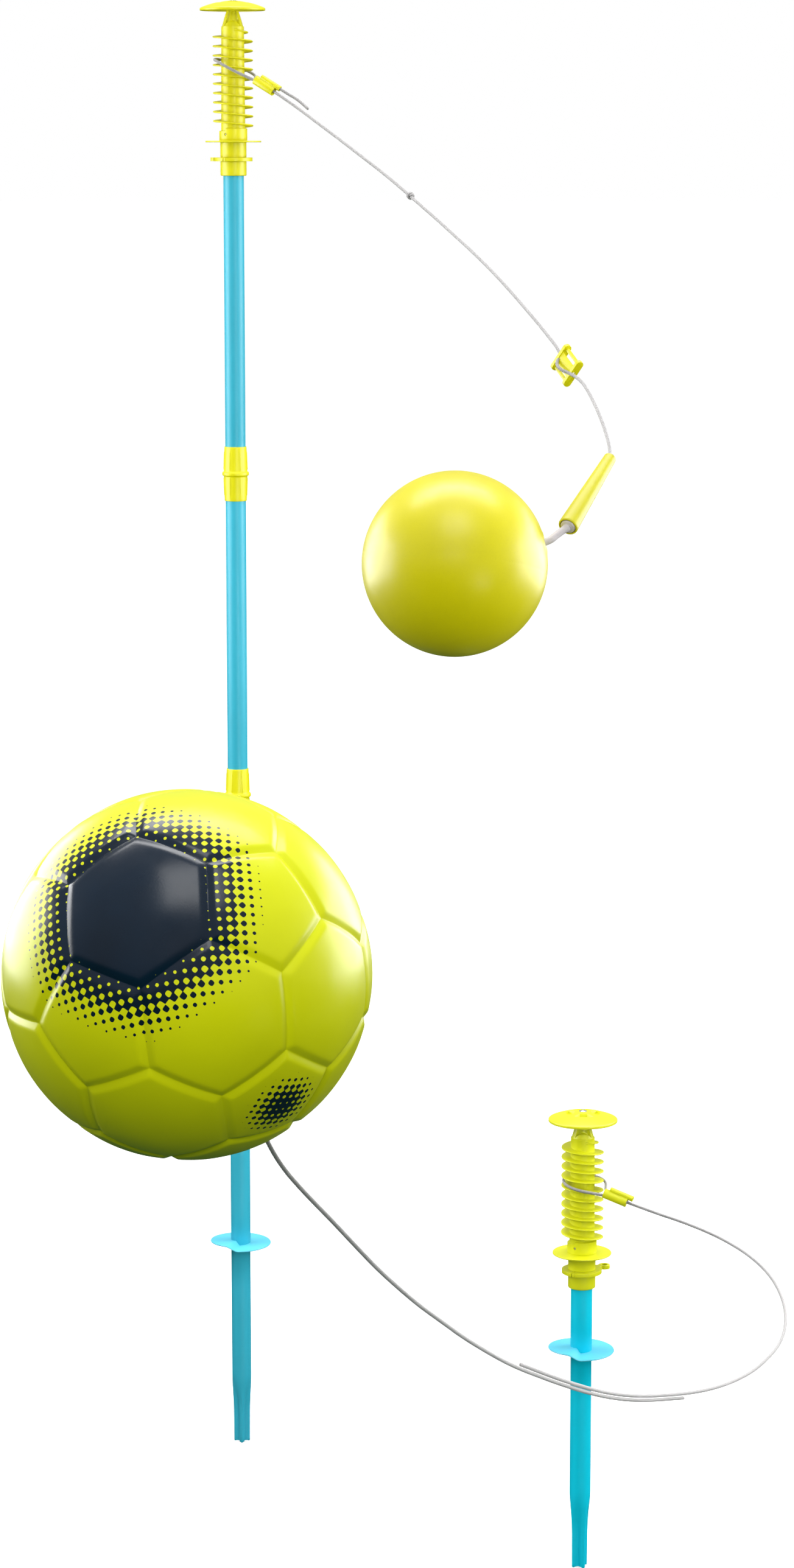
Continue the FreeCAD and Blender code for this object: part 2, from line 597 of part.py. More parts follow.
def make_football():
    def out(way, distance):
        return FOOTBALL.add(way * (FOOTBALL_R + distance))
    lug_base, lug_end = out(LUG_WAY, -9), out(LUG_WAY, 4)
    valve_base, valve_end = out(VALVE_WAY, -14), out(VALVE_WAY, 0.2)
    holes = rod(lug_base, lug_end, LUG_HOLE_R).fuse(rod(valve_base, valve_end, VALVE_HOLE_R))
    cover = ("football_cover", FOOTBALL_R, FOOTBALL_COVER_T)
    bladder = ("football_bladder", FOOTBALL_R - FOOTBALL_COVER_T - 0.1, FOOTBALL_BLADDER_T)
    for name, radius, thickness in (cover, bladder):
        shell = Part.makeSphere(radius, FOOTBALL).cut(Part.makeSphere(radius - thickness, FOOTBALL))
        save(name, shell.cut(holes))
    lug = rod(lug_base, lug_end, LUG_HOLE_R - 0.1).fuse(rod(out(LUG_WAY, -0.25), lug_end, LUG_LIP_R))
    save("football_lug", lug.cut(rod(out(LUG_WAY, -6), lug_end, LUG_BORE_R)))
    save("football_valve", rod(valve_base, valve_end, VALVE_R).cut(rod(valve_base, valve_end, NEEDLE_R)))
    save("football_cord_knot", rod(out(LUG_WAY, -5.6), out(LUG_WAY, 7), LUG_BORE_R - 0.3))


make_posts()
make_head("tall", TALL, 135.0, 240.0)
make_head("short", SHORT, 32.0, 237.0)
make_tall_tether()
make_short_tether()
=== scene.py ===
import math

import bpy
import bmesh
import numpy as np
from mathutils import Matrix, Vector


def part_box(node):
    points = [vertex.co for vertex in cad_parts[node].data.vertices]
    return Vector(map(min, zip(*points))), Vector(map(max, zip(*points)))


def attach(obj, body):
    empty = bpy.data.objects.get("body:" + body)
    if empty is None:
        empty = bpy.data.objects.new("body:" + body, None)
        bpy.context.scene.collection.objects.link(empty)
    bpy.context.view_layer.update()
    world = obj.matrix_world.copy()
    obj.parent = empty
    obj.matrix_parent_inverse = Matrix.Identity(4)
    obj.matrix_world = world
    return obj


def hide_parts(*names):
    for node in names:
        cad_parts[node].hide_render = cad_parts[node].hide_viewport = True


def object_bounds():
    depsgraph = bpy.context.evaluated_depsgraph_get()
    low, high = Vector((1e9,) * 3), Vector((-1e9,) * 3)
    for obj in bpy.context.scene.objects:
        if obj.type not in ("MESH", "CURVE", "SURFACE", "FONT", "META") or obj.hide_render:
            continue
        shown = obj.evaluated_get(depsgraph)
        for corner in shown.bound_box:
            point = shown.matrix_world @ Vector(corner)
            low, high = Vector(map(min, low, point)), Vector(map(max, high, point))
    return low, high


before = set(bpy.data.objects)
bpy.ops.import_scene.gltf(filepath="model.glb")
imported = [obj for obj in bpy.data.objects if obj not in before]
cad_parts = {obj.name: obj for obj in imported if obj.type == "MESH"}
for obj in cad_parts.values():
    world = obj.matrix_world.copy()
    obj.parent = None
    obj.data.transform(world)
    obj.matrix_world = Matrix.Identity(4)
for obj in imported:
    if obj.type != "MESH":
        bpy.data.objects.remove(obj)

# Tetherball set: the looks of every piece, in metres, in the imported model's frame.
# Lengths of moulded details are given in millimetres and turned into metres where the mesh is made.

CAD_BOX = [list(corner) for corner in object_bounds()]
MM = 0.001
TAU = 2 * math.pi
WELD = 1e-6                                 # points nearer than this are one point


def centre_of(node):
    low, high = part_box(node)
    return (Vector(low) + Vector(high)) / 2


TALL = Vector((0, 0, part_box("tall_head_socket")[0][2]))
SHORT_CENTRE = centre_of("short_head_socket")
SHORT = Vector((SHORT_CENTRE.x, SHORT_CENTRE.y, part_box("short_head_socket")[0][2]))
TETHER_BALL = centre_of("tether_ball_skin")
FOOTBALL = centre_of("football_cover")
FLOOR_Z = CAD_BOX[0][2] - 0.001


# ---- mesh helpers -------------------------------------------------------------------------------
def link(name, data):
    piece = bpy.data.objects.new(name, data)
    bpy.context.scene.collection.objects.link(piece)
    return piece


def seat(piece, body, slot, material, *nodes):
    """Gives a piece its material and its body, and hides the CAD nodes that it stands for; slot is not used.
    """
    piece.data.materials.clear()
    piece.data.materials.append(MATERIALS[material])
    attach(piece, body)
    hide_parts(*nodes)


def mesh_piece(name, points, faces, sharp=40.0):
    data = bpy.data.meshes.new(name)
    data.from_pydata([tuple(p) for p in points], [], faces)
    tidy = bmesh.new()
    tidy.from_mesh(data)
    bmesh.ops.remove_doubles(tidy, verts=tidy.verts, dist=WELD)
    bmesh.ops.recalc_face_normals(tidy, faces=tidy.faces)
    tidy.to_mesh(data)
    tidy.free()
    data.shade_smooth()
    data.set_sharp_from_angle(angle=math.radians(sharp))
    return link(name, data)


def ring_faces(rows, columns, closed_rows):
    """Quads between successive rings of points, each ring closed on itself."""
    faces = []
    for row in range(rows if closed_rows else rows - 1):
        after = (row + 1) % rows
        for column in range(columns):
            beside = (column + 1) % columns
            here, there = row * columns, after * columns
            faces.append((here + column, here + beside, there + beside, there + column))
    return faces


def skin(name, rings, cap_start=True, cap_end=True, closed=False, sharp=40.0):
    """A surface through rings of the same number of points, with a fan over each end that is capped."""
    rings = [np.asarray(r, float) for r in rings]
    columns = len(rings[0])
    points = [tuple(p) for r in rings for p in r]
    faces = ring_faces(len(rings), columns, closed)
    for capped, row in ((cap_start, 0), (cap_end, len(rings) - 1)):
        if not capped or closed:
            continue
        points.append(tuple(rings[row].mean(axis=0)))
        centre = len(points) - 1
        for column in range(columns):
            faces.append((row * columns + column, row * columns + (column + 1) % columns, centre))
    return mesh_piece(name, points, faces, sharp)


CORNER_STEPS = 4


def rounded(corners, radius, closed=False):
    """A polyline in (r, z) with every inner corner softened; (r, z, own radius) sets one corner's."""
    count = len(corners)
    out = []
    for index, corner in enumerate(corners):
        here = np.array(corner[:2], float)
        own = corner[2] if len(corner) > 2 else radius
        if own <= 0 or (not closed and index in (0, count - 1)):
            out.append(here)
            continue
        before = np.array(corners[index - 1][:2], float) - here
        after = np.array(corners[(index + 1) % count][:2], float) - here
        size_b, size_a = np.linalg.norm(before), np.linalg.norm(after)
        reach = min(own, 0.45 * size_b, 0.45 * size_a)
        start, end = here + before / size_b * reach, here + after / size_a * reach
        for t in np.linspace(0, 1, CORNER_STEPS + 1):
            out.append((1 - t) ** 2 * start + 2 * t * (1 - t) * here + t ** 2 * end)
    return out


def all_round(columns):
    return np.arange(columns) * TAU / columns


def level_ring(radius, angles, z, place):
    """Points round the local Z of place, in millimetres; radius and z may differ from angle to angle."""
    z = np.broadcast_to(z, angles.shape)
    return to_place(np.stack([radius * np.cos(angles), radius * np.sin(angles), z], axis=1), place)


def turned(name, profile, place, columns=96, closed=False):
    """A surface of revolution about the local Z of place, from (r, z) in millimetres."""
    rings = [level_ring(r, all_round(columns), z, place) for r, z in profile]
    return skin(name, rings, False, False, closed)


def to_place(points, place):
    """Millimetre points in a local frame to metres in the row frame."""
    matrix = np.array(place, float)
    return np.asarray(points, float) * MM @ matrix[:3, :3].T + matrix[:3, 3]


def at(point):
    return Matrix.Translation(point)


def facing(origin, z_way, y_way):
    """A frame at origin whose Z is z_way and whose Y is as near y_way as it can be."""
    z_axis = Vector(z_way).normalized()
    x_axis = Vector(y_way).cross(z_axis).normalized()
    y_axis = z_axis.cross(x_axis)
    return at(origin) @ Matrix((x_axis, y_axis, z_axis)).transposed().to_4x4()


def unit(vector):
    return vector / np.linalg.norm(vector)


def square_to(way, vector):
    """The unit direction nearest to vector that is square to the unit direction way."""
    return unit(vector - way * (vector @ way))


def degrees_apart(angles, angle):
    return np.abs((angles - angle + 180) % 360 - 180)


def smooth(value, low, high):
    t = np.clip((np.asarray(value, float) - low) / (high - low), 0, 1)
    return t * t * (3 - 2 * t)


def softened(name, node, width):
    """A copy of a CAD node's own shape with every edge rounded, as a mould or a file leaves it."""
    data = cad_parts[node].data.copy()
    data.name = name
    data.materials.clear()
    work = bmesh.new()
    work.from_mesh(data)
    bmesh.ops.remove_doubles(work, verts=work.verts, dist=WELD)
    bmesh.ops.dissolve_limit(work, angle_limit=math.radians(0.6), verts=work.verts, edges=work.edges)
    work.to_mesh(data)
    work.free()
    piece = link(name, data)
    bevel = piece.modifiers.new("edges", "BEVEL")
    bevel.width = width * MM
    bevel.segments = 3
    bevel.limit_method = "ANGLE"
    bevel.angle_limit = math.radians(38)
    bevel.use_clamp_overlap = True
    bevel.harden_normals = False
    graph = bpy.context.evaluated_depsgraph_get()
    made = bpy.data.meshes.new_from_object(piece.evaluated_get(graph))
    piece.modifiers.clear()
    piece.data = made
    made.shade_smooth()
    made.set_sharp_from_angle(angle=math.radians(45))
    return piece


# ---- camera -------------------------------------------------------------------------------------
CAMERA_AT = (0.1755, -4.2, 1.22)
CAMERA_TILT = math.radians(80.6)            # from straight down
CAMERA_LENS = 88.67


def make_camera():
    data = bpy.data.cameras.new("camera")
    data.lens = CAMERA_LENS
    data.sensor_width = 36
    data.clip_end = 100
    camera = link("camera", data)
    camera.location = CAMERA_AT
    camera.rotation_euler = (CAMERA_TILT, 0, 0)
    bpy.context.scene.camera = camera


# ---- cords --------------------------------------------------------------------------------------
CORD_D = 0.003
TAIL_D = 0.006
TAIL_FLUTES = 12
TAIL_FLUTE_DEPTH = 0.00006
TAIL_COLUMNS = 32
TALL_LOOP = [                               # millimetres, about the head's socket
    (29, -31.5, 98), (23, -29, 100.8), (12, -27, 106), (0, -25, 111.5), (-9, -22.5, 116.5),
    (-15.5, -16.5, 120.2), (-19, -8.5, 122.2), (-19.6, 0, 122.8), (-18, 9, 123.2), (-13.6, 18.2, 123.1),
    (-5, 24.2, 120), (5, 26, 115.5), (14.5, 22.5, 111.5), (21, 14, 108), (24, 4, 105.6),
    (24.2, -7, 104), (24.4, -17, 102.6), (26, -25.5, 101.2), (31, -28.8, 98.6),
]
TALL_CORD = [
    (42, -35.5, 1277.5), (67, -57, 1261), (90, -87, 1244), (115, -125, 1226), (135, -161, 1211),
    (158, -205, 1194), (177, -246, 1179), (197, -294, 1162), (215, -339, 1147), (231, -384, 1133),
    (246, -430, 1120), (260, -476, 1107), (273, -524, 1094), (285, -571, 1081), (296, -619, 1068.5),
    (306, -664, 1057), (314, -703, 1047), (319.5, -727, 1040), (321.5, -739, 1034), (317, -746, 1028),
    (320, -755, 1023), (330, -762, 1019.5), (338, -782, 1014.5), (342, -813, 1008.5), (345.5, -853, 1000.5),
    (348.5, -899, 992), (350.5, -943, 983.5), (351.5, -982, 976), (351.5, -1008, 970.5), (350, -1022, 966.5),
    (346.5, -1033, 961.5),
]
TALL_CLAMP = (25, -28, 1288)                # the tall clamp's near end
TALL_CLAMP_WAY = Vector((21, -9, -13)).normalized()
CLAMP_SIDE = (5.9, 5.0)                     # the clamp's small tube: above the large one, and further out
CLAMP_LENGTH = 25.0
FREE_END_GRIP = 12.0                        # how much of the free end is inside its tube
TALL_FREE_END = [(60, -43.5, 1273), (68, -49.5, 1268.5), (75.5, -56.5, 1263), (82, -64.5, 1257)]
SHORT_LOOP = [
    (26.5, -29.2, 103), (19.5, -28, 104.2), (10, -26.8, 105.8), (0, -25.4, 107.2), (-9, -22.3, 108.8),
    (-15.5, -16.5, 110.3), (-19, -8.5, 111.6), (-19.6, 0, 112.4), (-18, 9, 112.9), (-13, 17.5, 113),
    (-5, 23.5, 112.6), (5, 25.3, 111.8), (14.5, 22, 110.8), (21, 14, 109.9), (23.9, 4, 109.2),
    (23.8, -7, 108.6), (22.6, -17, 108), (22.8, -24.2, 107.4), (27.5, -27.4, 105.6),
]
FOOTBALL_ROUTE = [
    (85.6, -1900, 644.8), (93, -1886, 620), (103, -1864, 594), (117, -1833, 568), (133, -1796, 540),
    (148, -1752, 510), (162, -1710, 482), (177, -1664, 454), (192, -1618, 427), (208, -1571, 401),
    (222, -1527, 377), (237, -1480, 353), (253, -1433, 329), (269, -1384, 306), (285, -1337, 285),
    (301, -1288, 263.5), (316, -1239, 243), (333, -1189, 222), (350, -1142, 203), (368, -1094, 185),
    (386, -1048, 169), (406, -1000, 154), (426, -954, 140), (448, -906, 127), (468, -862, 117),
    (488, -817, 109), (506, -775, 104), (522, -731, 101), (536, -690, 100), (546, -647, 101.5),
    (551, -605, 105), (550, -564, 112), (542, -526, 121), (524, -492, 131), (497, -465, 141),
    (465, -446, 150), (433, -435, 158), (403, -424, 166.8),
]
OVERLAP_START = 13                          # the two cords of the route share its points 13 to 22,
OVERLAP_END = 23
OVERLAP_HALF_GAP = 1.85                     # one this far above them and the other as far below
BRAID_STEP = 0.0006
BRAID_COLUMNS = 12
BRAID_STRANDS = 4                           # in each direction
BRAID_PITCH = 0.0125                        # one strand's full turn
BRAID_RELIEF = 0.085                        # share of the radius
PATH_STEP = 8                               # every eighth point of the braid's line tells the cord's path


def centreline(points, step):
    """Evenly spaced points along the smooth line that the route's points control, ends included."""
    data = bpy.data.curves.new("route", "CURVE")
    data.dimensions = "3D"
    data.resolution_u = 24
    spline = data.splines.new("NURBS")
    spline.points.add(len(points) - 1)
    for control, point in zip(spline.points, points):
        control.co = (*point, 1)
    spline.order_u = 3
    spline.use_endpoint_u = True
    carrier = link("route", data)
    bpy.context.view_layer.update()
    line = bpy.data.meshes.new_from_object(carrier)
    along = np.array([v.co[:] for v in line.vertices])
    bpy.data.objects.remove(carrier)
    bpy.data.curves.remove(data)
    bpy.data.meshes.remove(line)
    gone = np.concatenate([[0], np.cumsum(np.linalg.norm(np.diff(along, axis=0), axis=1))])
    count = max(int(round(gone[-1] / step)), 4)
    wanted = np.linspace(0, gone[-1], count + 1)
    return np.stack([np.interp(wanted, gone, along[:, axis]) for axis in range(3)], axis=1), gone[-1]


def carried_frames(line):
    """A side vector and an up vector at every point of a line, turning no more than the line does."""
    ways = np.gradient(line, axis=0)
    ways /= np.linalg.norm(ways, axis=1)[:, None]
    side = np.cross(ways[0], (0, 0, 1))
    if np.linalg.norm(side) < 0.1:
        side = np.cross(ways[0], (0, 1, 0))
    sides = []
    for way in ways:
        side = square_to(way, side)
        sides.append(side)
    sides = np.array(sides)
    return sides, np.cross(ways, sides)


def tube_mesh(name, line, radii, columns):
    """A mesh tube about line; radii is an array of one radius for each ring and column."""
    sides, ups = carried_frames(line)
    angles = all_round(columns)
    rounds = np.cos(angles)[None, :, None] * sides[:, None] + np.sin(angles)[None, :, None] * ups[:, None]
    rings = line[:, None] + rounds * np.asarray(radii)[:, :, None]
    return skin(name, list(rings), sharp=80)


def braided(name, points):
    """A braided cord: strands wind both ways, and where two cross the sheath stands proud."""
    line, length = centreline(points, BRAID_STEP)
    gone = np.linspace(0, length, len(line))[:, None]
    angles = all_round(BRAID_COLUMNS)[None, :]
    wound = TAU * gone / BRAID_PITCH
    one = np.cos(BRAID_STRANDS / 2 * (angles - wound)) ** 2
    other = np.cos(BRAID_STRANDS / 2 * (angles + wound)) ** 2
    relief = np.sqrt(one * other)
    ends = np.minimum(gone, length - gone)
    blunt = 0.6 + 0.4 * smooth(ends, 0, CORD_D * 0.3)
    radii = CORD_D / 2 * (1 - BRAID_RELIEF + 2 * BRAID_RELIEF * relief) * blunt
    piece = tube_mesh(name, line, radii, BRAID_COLUMNS)
    path = line[::PATH_STEP]
    if len(line) % PATH_STEP != 1:
        path = np.vstack([path, line[-1]])
    return piece, path, length


def free_cord(name, points, body, node):
    """A limp braided cord that stands for node."""
    piece, path, length = braided(name, points)
    seat(piece, body, "cord_white", "cord", node)


def metres(points, origin=(0, 0, 0)):
    return [tuple(o + c * MM for o, c in zip(origin, point)) for point in points]


def make_cords():
    free_cord("tall_loop_cord", metres(TALL_LOOP, TALL), "tall_tether", "tall_cord_loop")
    above = Vector((0, 0, 1)) - TALL_CLAMP_WAY * TALL_CLAMP_WAY.z
    mouth = Vector(TALL_CLAMP) + above.normalized() * CLAMP_SIDE[0]
    mouth += TALL_CLAMP_WAY * (CLAMP_SIDE[1] + CLAMP_LENGTH)
    gripped = [tuple(mouth - TALL_CLAMP_WAY * FREE_END_GRIP), tuple(mouth + TALL_CLAMP_WAY * 2.0)]
    free_cord("tall_free_end", metres(gripped + TALL_FREE_END), "tall_tether", "tall_cord_free_end")
    free_cord("tall_main_cord", metres(TALL_CORD), "tall_tether", "tall_cord")
    free_cord("short_loop_cord", metres(SHORT_LOOP, SHORT), "short_tether", "short_cord_loop")
    ball_side = [(x, y, z - OVERLAP_HALF_GAP) for x, y, z in FOOTBALL_ROUTE[:OVERLAP_END]]
    head_side = [(x, y, z + OVERLAP_HALF_GAP) for x, y, z in FOOTBALL_ROUTE[OVERLAP_START:]]
    free_cord("football_ball_side", metres(ball_side), "short_tether", "football_cord_ball_side")
    free_cord("football_head_side", metres(head_side), "short_tether", "football_cord_head_side")


# ---- materials ----------------------------------------------------------------------------------
def srgb(red, green, blue):
    """Screen colour, 0 to 255, as the linear colour that shaders take."""
    def channel(value):
        value /= 255
        return value / 12.92 if value <= 0.04045 else ((value + 0.055) / 1.055) ** 2.4
    return (channel(red), channel(green), channel(blue), 1)


def add_node(tree, kind, values=(), **settings):
    """A new node; each of values is a number or colour, or the output that feeds that socket."""
    node = tree.nodes.new(kind)
    for key, value in settings.items():
        setattr(node, key, value)
    for socket, value in dict(values).items():
        if isinstance(value, bpy.types.NodeSocket):
            tree.links.new(value, node.inputs[socket])
        else:
            node.inputs[socket].default_value = value
    return node


class Nodes:
    """A short way to write a material's nodes."""

    def __init__(self, name):
        self.material = bpy.data.materials.new(name)
        self.material.use_nodes = True
        self.tree = self.material.node_tree
        self.shader = self.tree.nodes["Principled BSDF"]

    def add(self, kind, values=(), **settings):
        return add_node(self.tree, kind, values, **settings)

    def math(self, operation, first, second=0.0):
        return self.add("ShaderNodeMath", {0: first, 1: second}, operation=operation).outputs[0]

    def times(self, first, second):
        return self.math("MULTIPLY", first, second)

    def mix(self, share, first, second):
        return self.add("ShaderNodeMix", {0: share, 6: first, 7: second}, data_type="RGBA").outputs[2]

    def span(self, value, low, high, to_low, to_high):
        node = self.add("ShaderNodeMapRange", {0: value, 1: low, 2: high, 3: to_low, 4: to_high})
        return node.outputs[0]

    def noise(self, scale, detail, where=None, roughness=0.5):
        if where is None:
            where = self.place()
        values = {"Vector": where, "Scale": scale, "Detail": detail, "Roughness": roughness}
        return self.add("ShaderNodeTexNoise", values).outputs[0]

    def varied(self, scale, detail, low, high):
        """A value that wanders between low and high."""
        return self.span(self.noise(scale, detail), 0.3, 0.7, low, high)

    def mottled(self, scale, first, second):
        """A colour that wanders between first and second."""
        return self.mix(self.varied(scale, 3, 0, 1), first, second)

    def place(self):
        return self.add("ShaderNodeTexCoord").outputs["Object"]

    def stretched(self, scale):
        return self.add("ShaderNodeMapping", {"Vector": self.place(), "Scale": scale}).outputs[0]

    def bump(self, height, distance, strength, under=None):
        values = {"Height": height, "Distance": distance, "Strength": strength}
        if under is not None:
            values["Normal"] = under
        return self.add("ShaderNodeBump", values).outputs[0]

    def set(self, **values):
        for socket, value in values.items():
            target = self.shader.inputs[socket.replace("_", " ")]
            if isinstance(value, bpy.types.NodeSocket):
                self.tree.links.new(value, target)
            else:
                target.default_value = value
        return self.material


def shaded(colour, factor):
    return tuple(c * factor for c in colour[:3]) + (1,)


def moulded_plastic(name, colour, gloss=0.36):
    """Injection-moulded plastic: faint flow marks in its shade, and a fine satin grain."""
    n = Nodes(name)
    base = n.mottled(30, shaded(colour, 0.96), shaded(colour, 1.02))
    marks = n.noise(260, 4, roughness=0.7)
    grained = n.bump(n.noise(2600, 2), 0.000003, 0.4)
    return n.set(Base_Color=base, Roughness=n.span(marks, 0.3, 0.7, gloss - 0.03, gloss + 0.05),
                 Normal=grained, IOR=1.52)


def painted_tube(name, colour):
    """Powder-coated steel tube: slight orange peel, small shade changes along it and faint rubbing."""
    n = Nodes(name)
    cloud = n.noise(6, 3, n.stretched((6, 6, 1.2)))
    base = n.mix(n.span(cloud, 0.35, 0.65, 0, 1), shaded(colour, 0.95), shaded(colour, 1.04))
    speck = n.span(n.noise(900, 2), 0.66, 0.74, 0, 0.16)
    base = n.mix(speck, base, shaded(colour, 0.72))
    rub = n.noise(1, 3, n.stretched((60, 60, 900)), 0.6)
    peel = n.bump(n.noise(1400, 2), 0.000002, 0.2)
    return n.set(Base_Color=base, Roughness=n.span(rub, 0.35, 0.7, 0.36, 0.50), Normal=peel, IOR=1.5)


def cord_yarn(name, colour):
    """Braided polyester: the yarn's fine fibres, and slight greying here and there."""
    n = Nodes(name)
    soiled = n.span(n.noise(18, 4), 0.35, 0.75, 0, 0.35)
    base = n.mix(soiled, colour, shaded(colour, 0.80))
    fibre = n.noise(5200, 3)
    base = n.mix(n.span(fibre, 0.35, 0.65, 0, 0.35), base, shaded(colour, 0.86))
    return n.set(Base_Color=base, Roughness=0.78, Normal=n.bump(fibre, 0.00001, 0.4), Sheen_Weight=0.1,
                 Subsurface_Weight=0.9, Subsurface_Radius=(1, 1, 1), Subsurface_Scale=0.0025)


def extruded_tail(name, colour):
    """The thick tail's soft plastic: faint drawn lines along it."""
    n = Nodes(name)
    lines = n.noise(1, 3, n.stretched((60, 900, 900)))
    base = n.mix(n.span(lines, 0.3, 0.7, 0, 1), shaded(colour, 0.90), colour)
    return n.set(Base_Color=base, Roughness=n.varied(300, 2, 0.38, 0.52),
                 Normal=n.bump(lines, 0.00008, 0.4))


def steel(name):
    n = Nodes(name)
    turned_lines = n.noise(1400, 3)
    base = n.mix(turned_lines, (0.42, 0.43, 0.44, 1), (0.68, 0.69, 0.70, 1))
    return n.set(Base_Color=base, Metallic=1.0, Roughness=n.varied(500, 2, 0.25, 0.42),
                 Normal=n.bump(turned_lines, 0.00002, 0.4))


def foam_skin(name, colour):
    """The tether ball: a dense moulded foam with a closed satin skin and fine pores, each pore's middle
    darkened with painted shade.
    """
    n = Nodes(name)
    base = n.mottled(16, shaded(colour, 0.95), shaded(colour, 1.03))
    pores = n.add("ShaderNodeTexVoronoi", {"Vector": n.place(), "Scale": 620.0, "Randomness": 1.0}).outputs[0]
    pit = n.span(pores, 0.0, 0.32, 1, 0)
    # painted shade: the colour darkens towards each pore's middle, where the bump below sinks it
    base = n.mix(n.times(pit, 0.16), base, shaded(colour, 0.6))
    skin_bump = n.bump(n.noise(140, 3), 0.00012, 0.2)
    pitted = n.bump(n.times(pit, -1.0), 0.00006, 0.45, skin_bump)
    return n.set(Base_Color=base, Roughness=n.varied(70, 3, 0.36, 0.46), Normal=pitted,
                 Coat_Weight=0.3, Coat_Roughness=0.28)


DOT_PITCH = 0.0058                          # halftone grid on the football
DOT_TURN = math.radians(28)
PATCH_DOT_PITCH = DOT_PITCH * 0.86
PATCH_DOT_TURN = DOT_TURN - 0.35


def football_skin(name, colour, ink):
    """Printed football cover: yellow-green with a dark panel that breaks up into a halftone round it.

    The attribute "print" holds each point's place about the dark panel's middle and its distance from the
    panel's edge; "patch" holds the same about the second, small patch.
    """
    n = Nodes(name)
    base = n.mottled(14, shaded(colour, 0.96), shaded(colour, 1.03))

    def dots(attribute, pitch, turn):
        stored = n.add("ShaderNodeAttribute", attribute_name=attribute)
        x, y, share = n.add("ShaderNodeSeparateXYZ", {0: stored.outputs["Vector"]}).outputs
        u = n.math("SUBTRACT", n.times(x, math.cos(turn)), n.times(y, math.sin(turn)))
        v = n.math("ADD", n.times(x, math.sin(turn)), n.times(y, math.cos(turn)))
        wave_u, wave_v = (n.math("COSINE", n.times(way, TAU / pitch)) for way in (u, v))
        screen = n.math("ADD", n.times(n.math("ADD", wave_u, wave_v), 0.25), 0.5)
        return n.span(n.math("ADD", screen, share), 0.985, 1.015, 0, 1)

    round_panel = dots("print", DOT_PITCH, DOT_TURN)
    inked = n.math("MAXIMUM", round_panel, dots("patch", PATCH_DOT_PITCH, PATCH_DOT_TURN))
    base = n.mix(inked, base, n.mottled(22, shaded(ink, 0.85), shaded(ink, 1.2)))
    pebble = n.add("ShaderNodeTexVoronoi", {"Vector": n.place(), "Scale": 900.0}, feature="SMOOTH_F1")
    fine = n.bump(pebble.outputs[0], 0.00005, 0.35)
    soft = n.bump(n.noise(90, 2), 0.0002, 0.2, fine)
    rough = n.math("ADD", n.varied(60, 3, 0.29, 0.37), n.times(inked, -0.10))
    return n.set(Base_Color=base, Roughness=rough, Normal=soft, IOR=1.42, Coat_Weight=0.12,
                 Coat_Roughness=0.25)


def soft_rubber(name, colour):
    n = Nodes(name)
    base = n.mix(n.noise(120, 3), shaded(colour, 0.8), shaded(colour, 1.3))
    return n.set(Base_Color=base, Roughness=n.varied(300, 2, 0.5, 0.7),
                 Normal=n.bump(n.noise(1500, 2), 0.00005, 0.5))


MATERIALS = {}


def make_materials():
    MATERIALS.update(
        tall_yellow=moulded_plastic("tall yellow plastic", srgb(216, 210, 2)),
        short_yellow=moulded_plastic("short yellow plastic", srgb(214, 216, 22)),
        tall_blue=painted_tube("tall blue tube", srgb(50, 168, 192)),
        short_blue=painted_tube("short blue tube", srgb(0, 196, 222)),
        disc_blue=moulded_plastic("blue disc plastic", srgb(84, 188, 212), 0.4),
        grip=moulded_plastic("grip yellow foam plastic", srgb(196, 190, 24), 0.42),
        cord=cord_yarn("white cord yarn", srgb(152, 150, 150)),
        tail=extruded_tail("white tail plastic", srgb(196, 190, 194)),
        steel=steel("steel"),
        foam=foam_skin("tether ball skin", srgb(209, 200, 0)),
        football=football_skin("football cover", srgb(222, 228, 8), srgb(4, 26, 44)),
        rubber=soft_rubber("black rubber", srgb(30, 32, 34)),
        football_plain=moulded_plastic("football lug plastic", srgb(214, 222, 20), 0.32),
    )


# ---- posts --------------------------------------------------------------------------------------
POLE_R = 11.0
POLE_WALL = 1.2
DRIVEN_R = 10.8                             # below the ground disc, which sits on the shoulder this leaves
CRIMP_START = -149.0
CRIMP_END = -197.0
SPIKE_TIP = -230.0
LOBED_R = 6.9                               # the crimped point: its lobes stand this much about its radius
LOBE_HEIGHT = 2.3
NOTCH_DEPTH = 2.6
DISC_BORE_R = 10.9
DISC_R = 33.8
DISC_T = 2.0
DISC_RISE = 5.0
DISC_STEP_ANGLE = -93.0
DISC_RAMP = 26.0                            # degrees over which the disc drops back


def make_pole(name, node, body):
    """A straight tube with its cut ends rolled in slightly."""
    low, high = (z / MM for z in (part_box(node)[0][2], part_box(node)[1][2]))
    inner = POLE_R - POLE_WALL
    profile = rounded([(inner, low), (POLE_R, low), (POLE_R, high), (inner, high)], 0.5, closed=True)
    piece = turned(name, profile, at((0, 0, 0)), closed=True)
    seat(piece, body, "post_blue", "tall_blue", node)


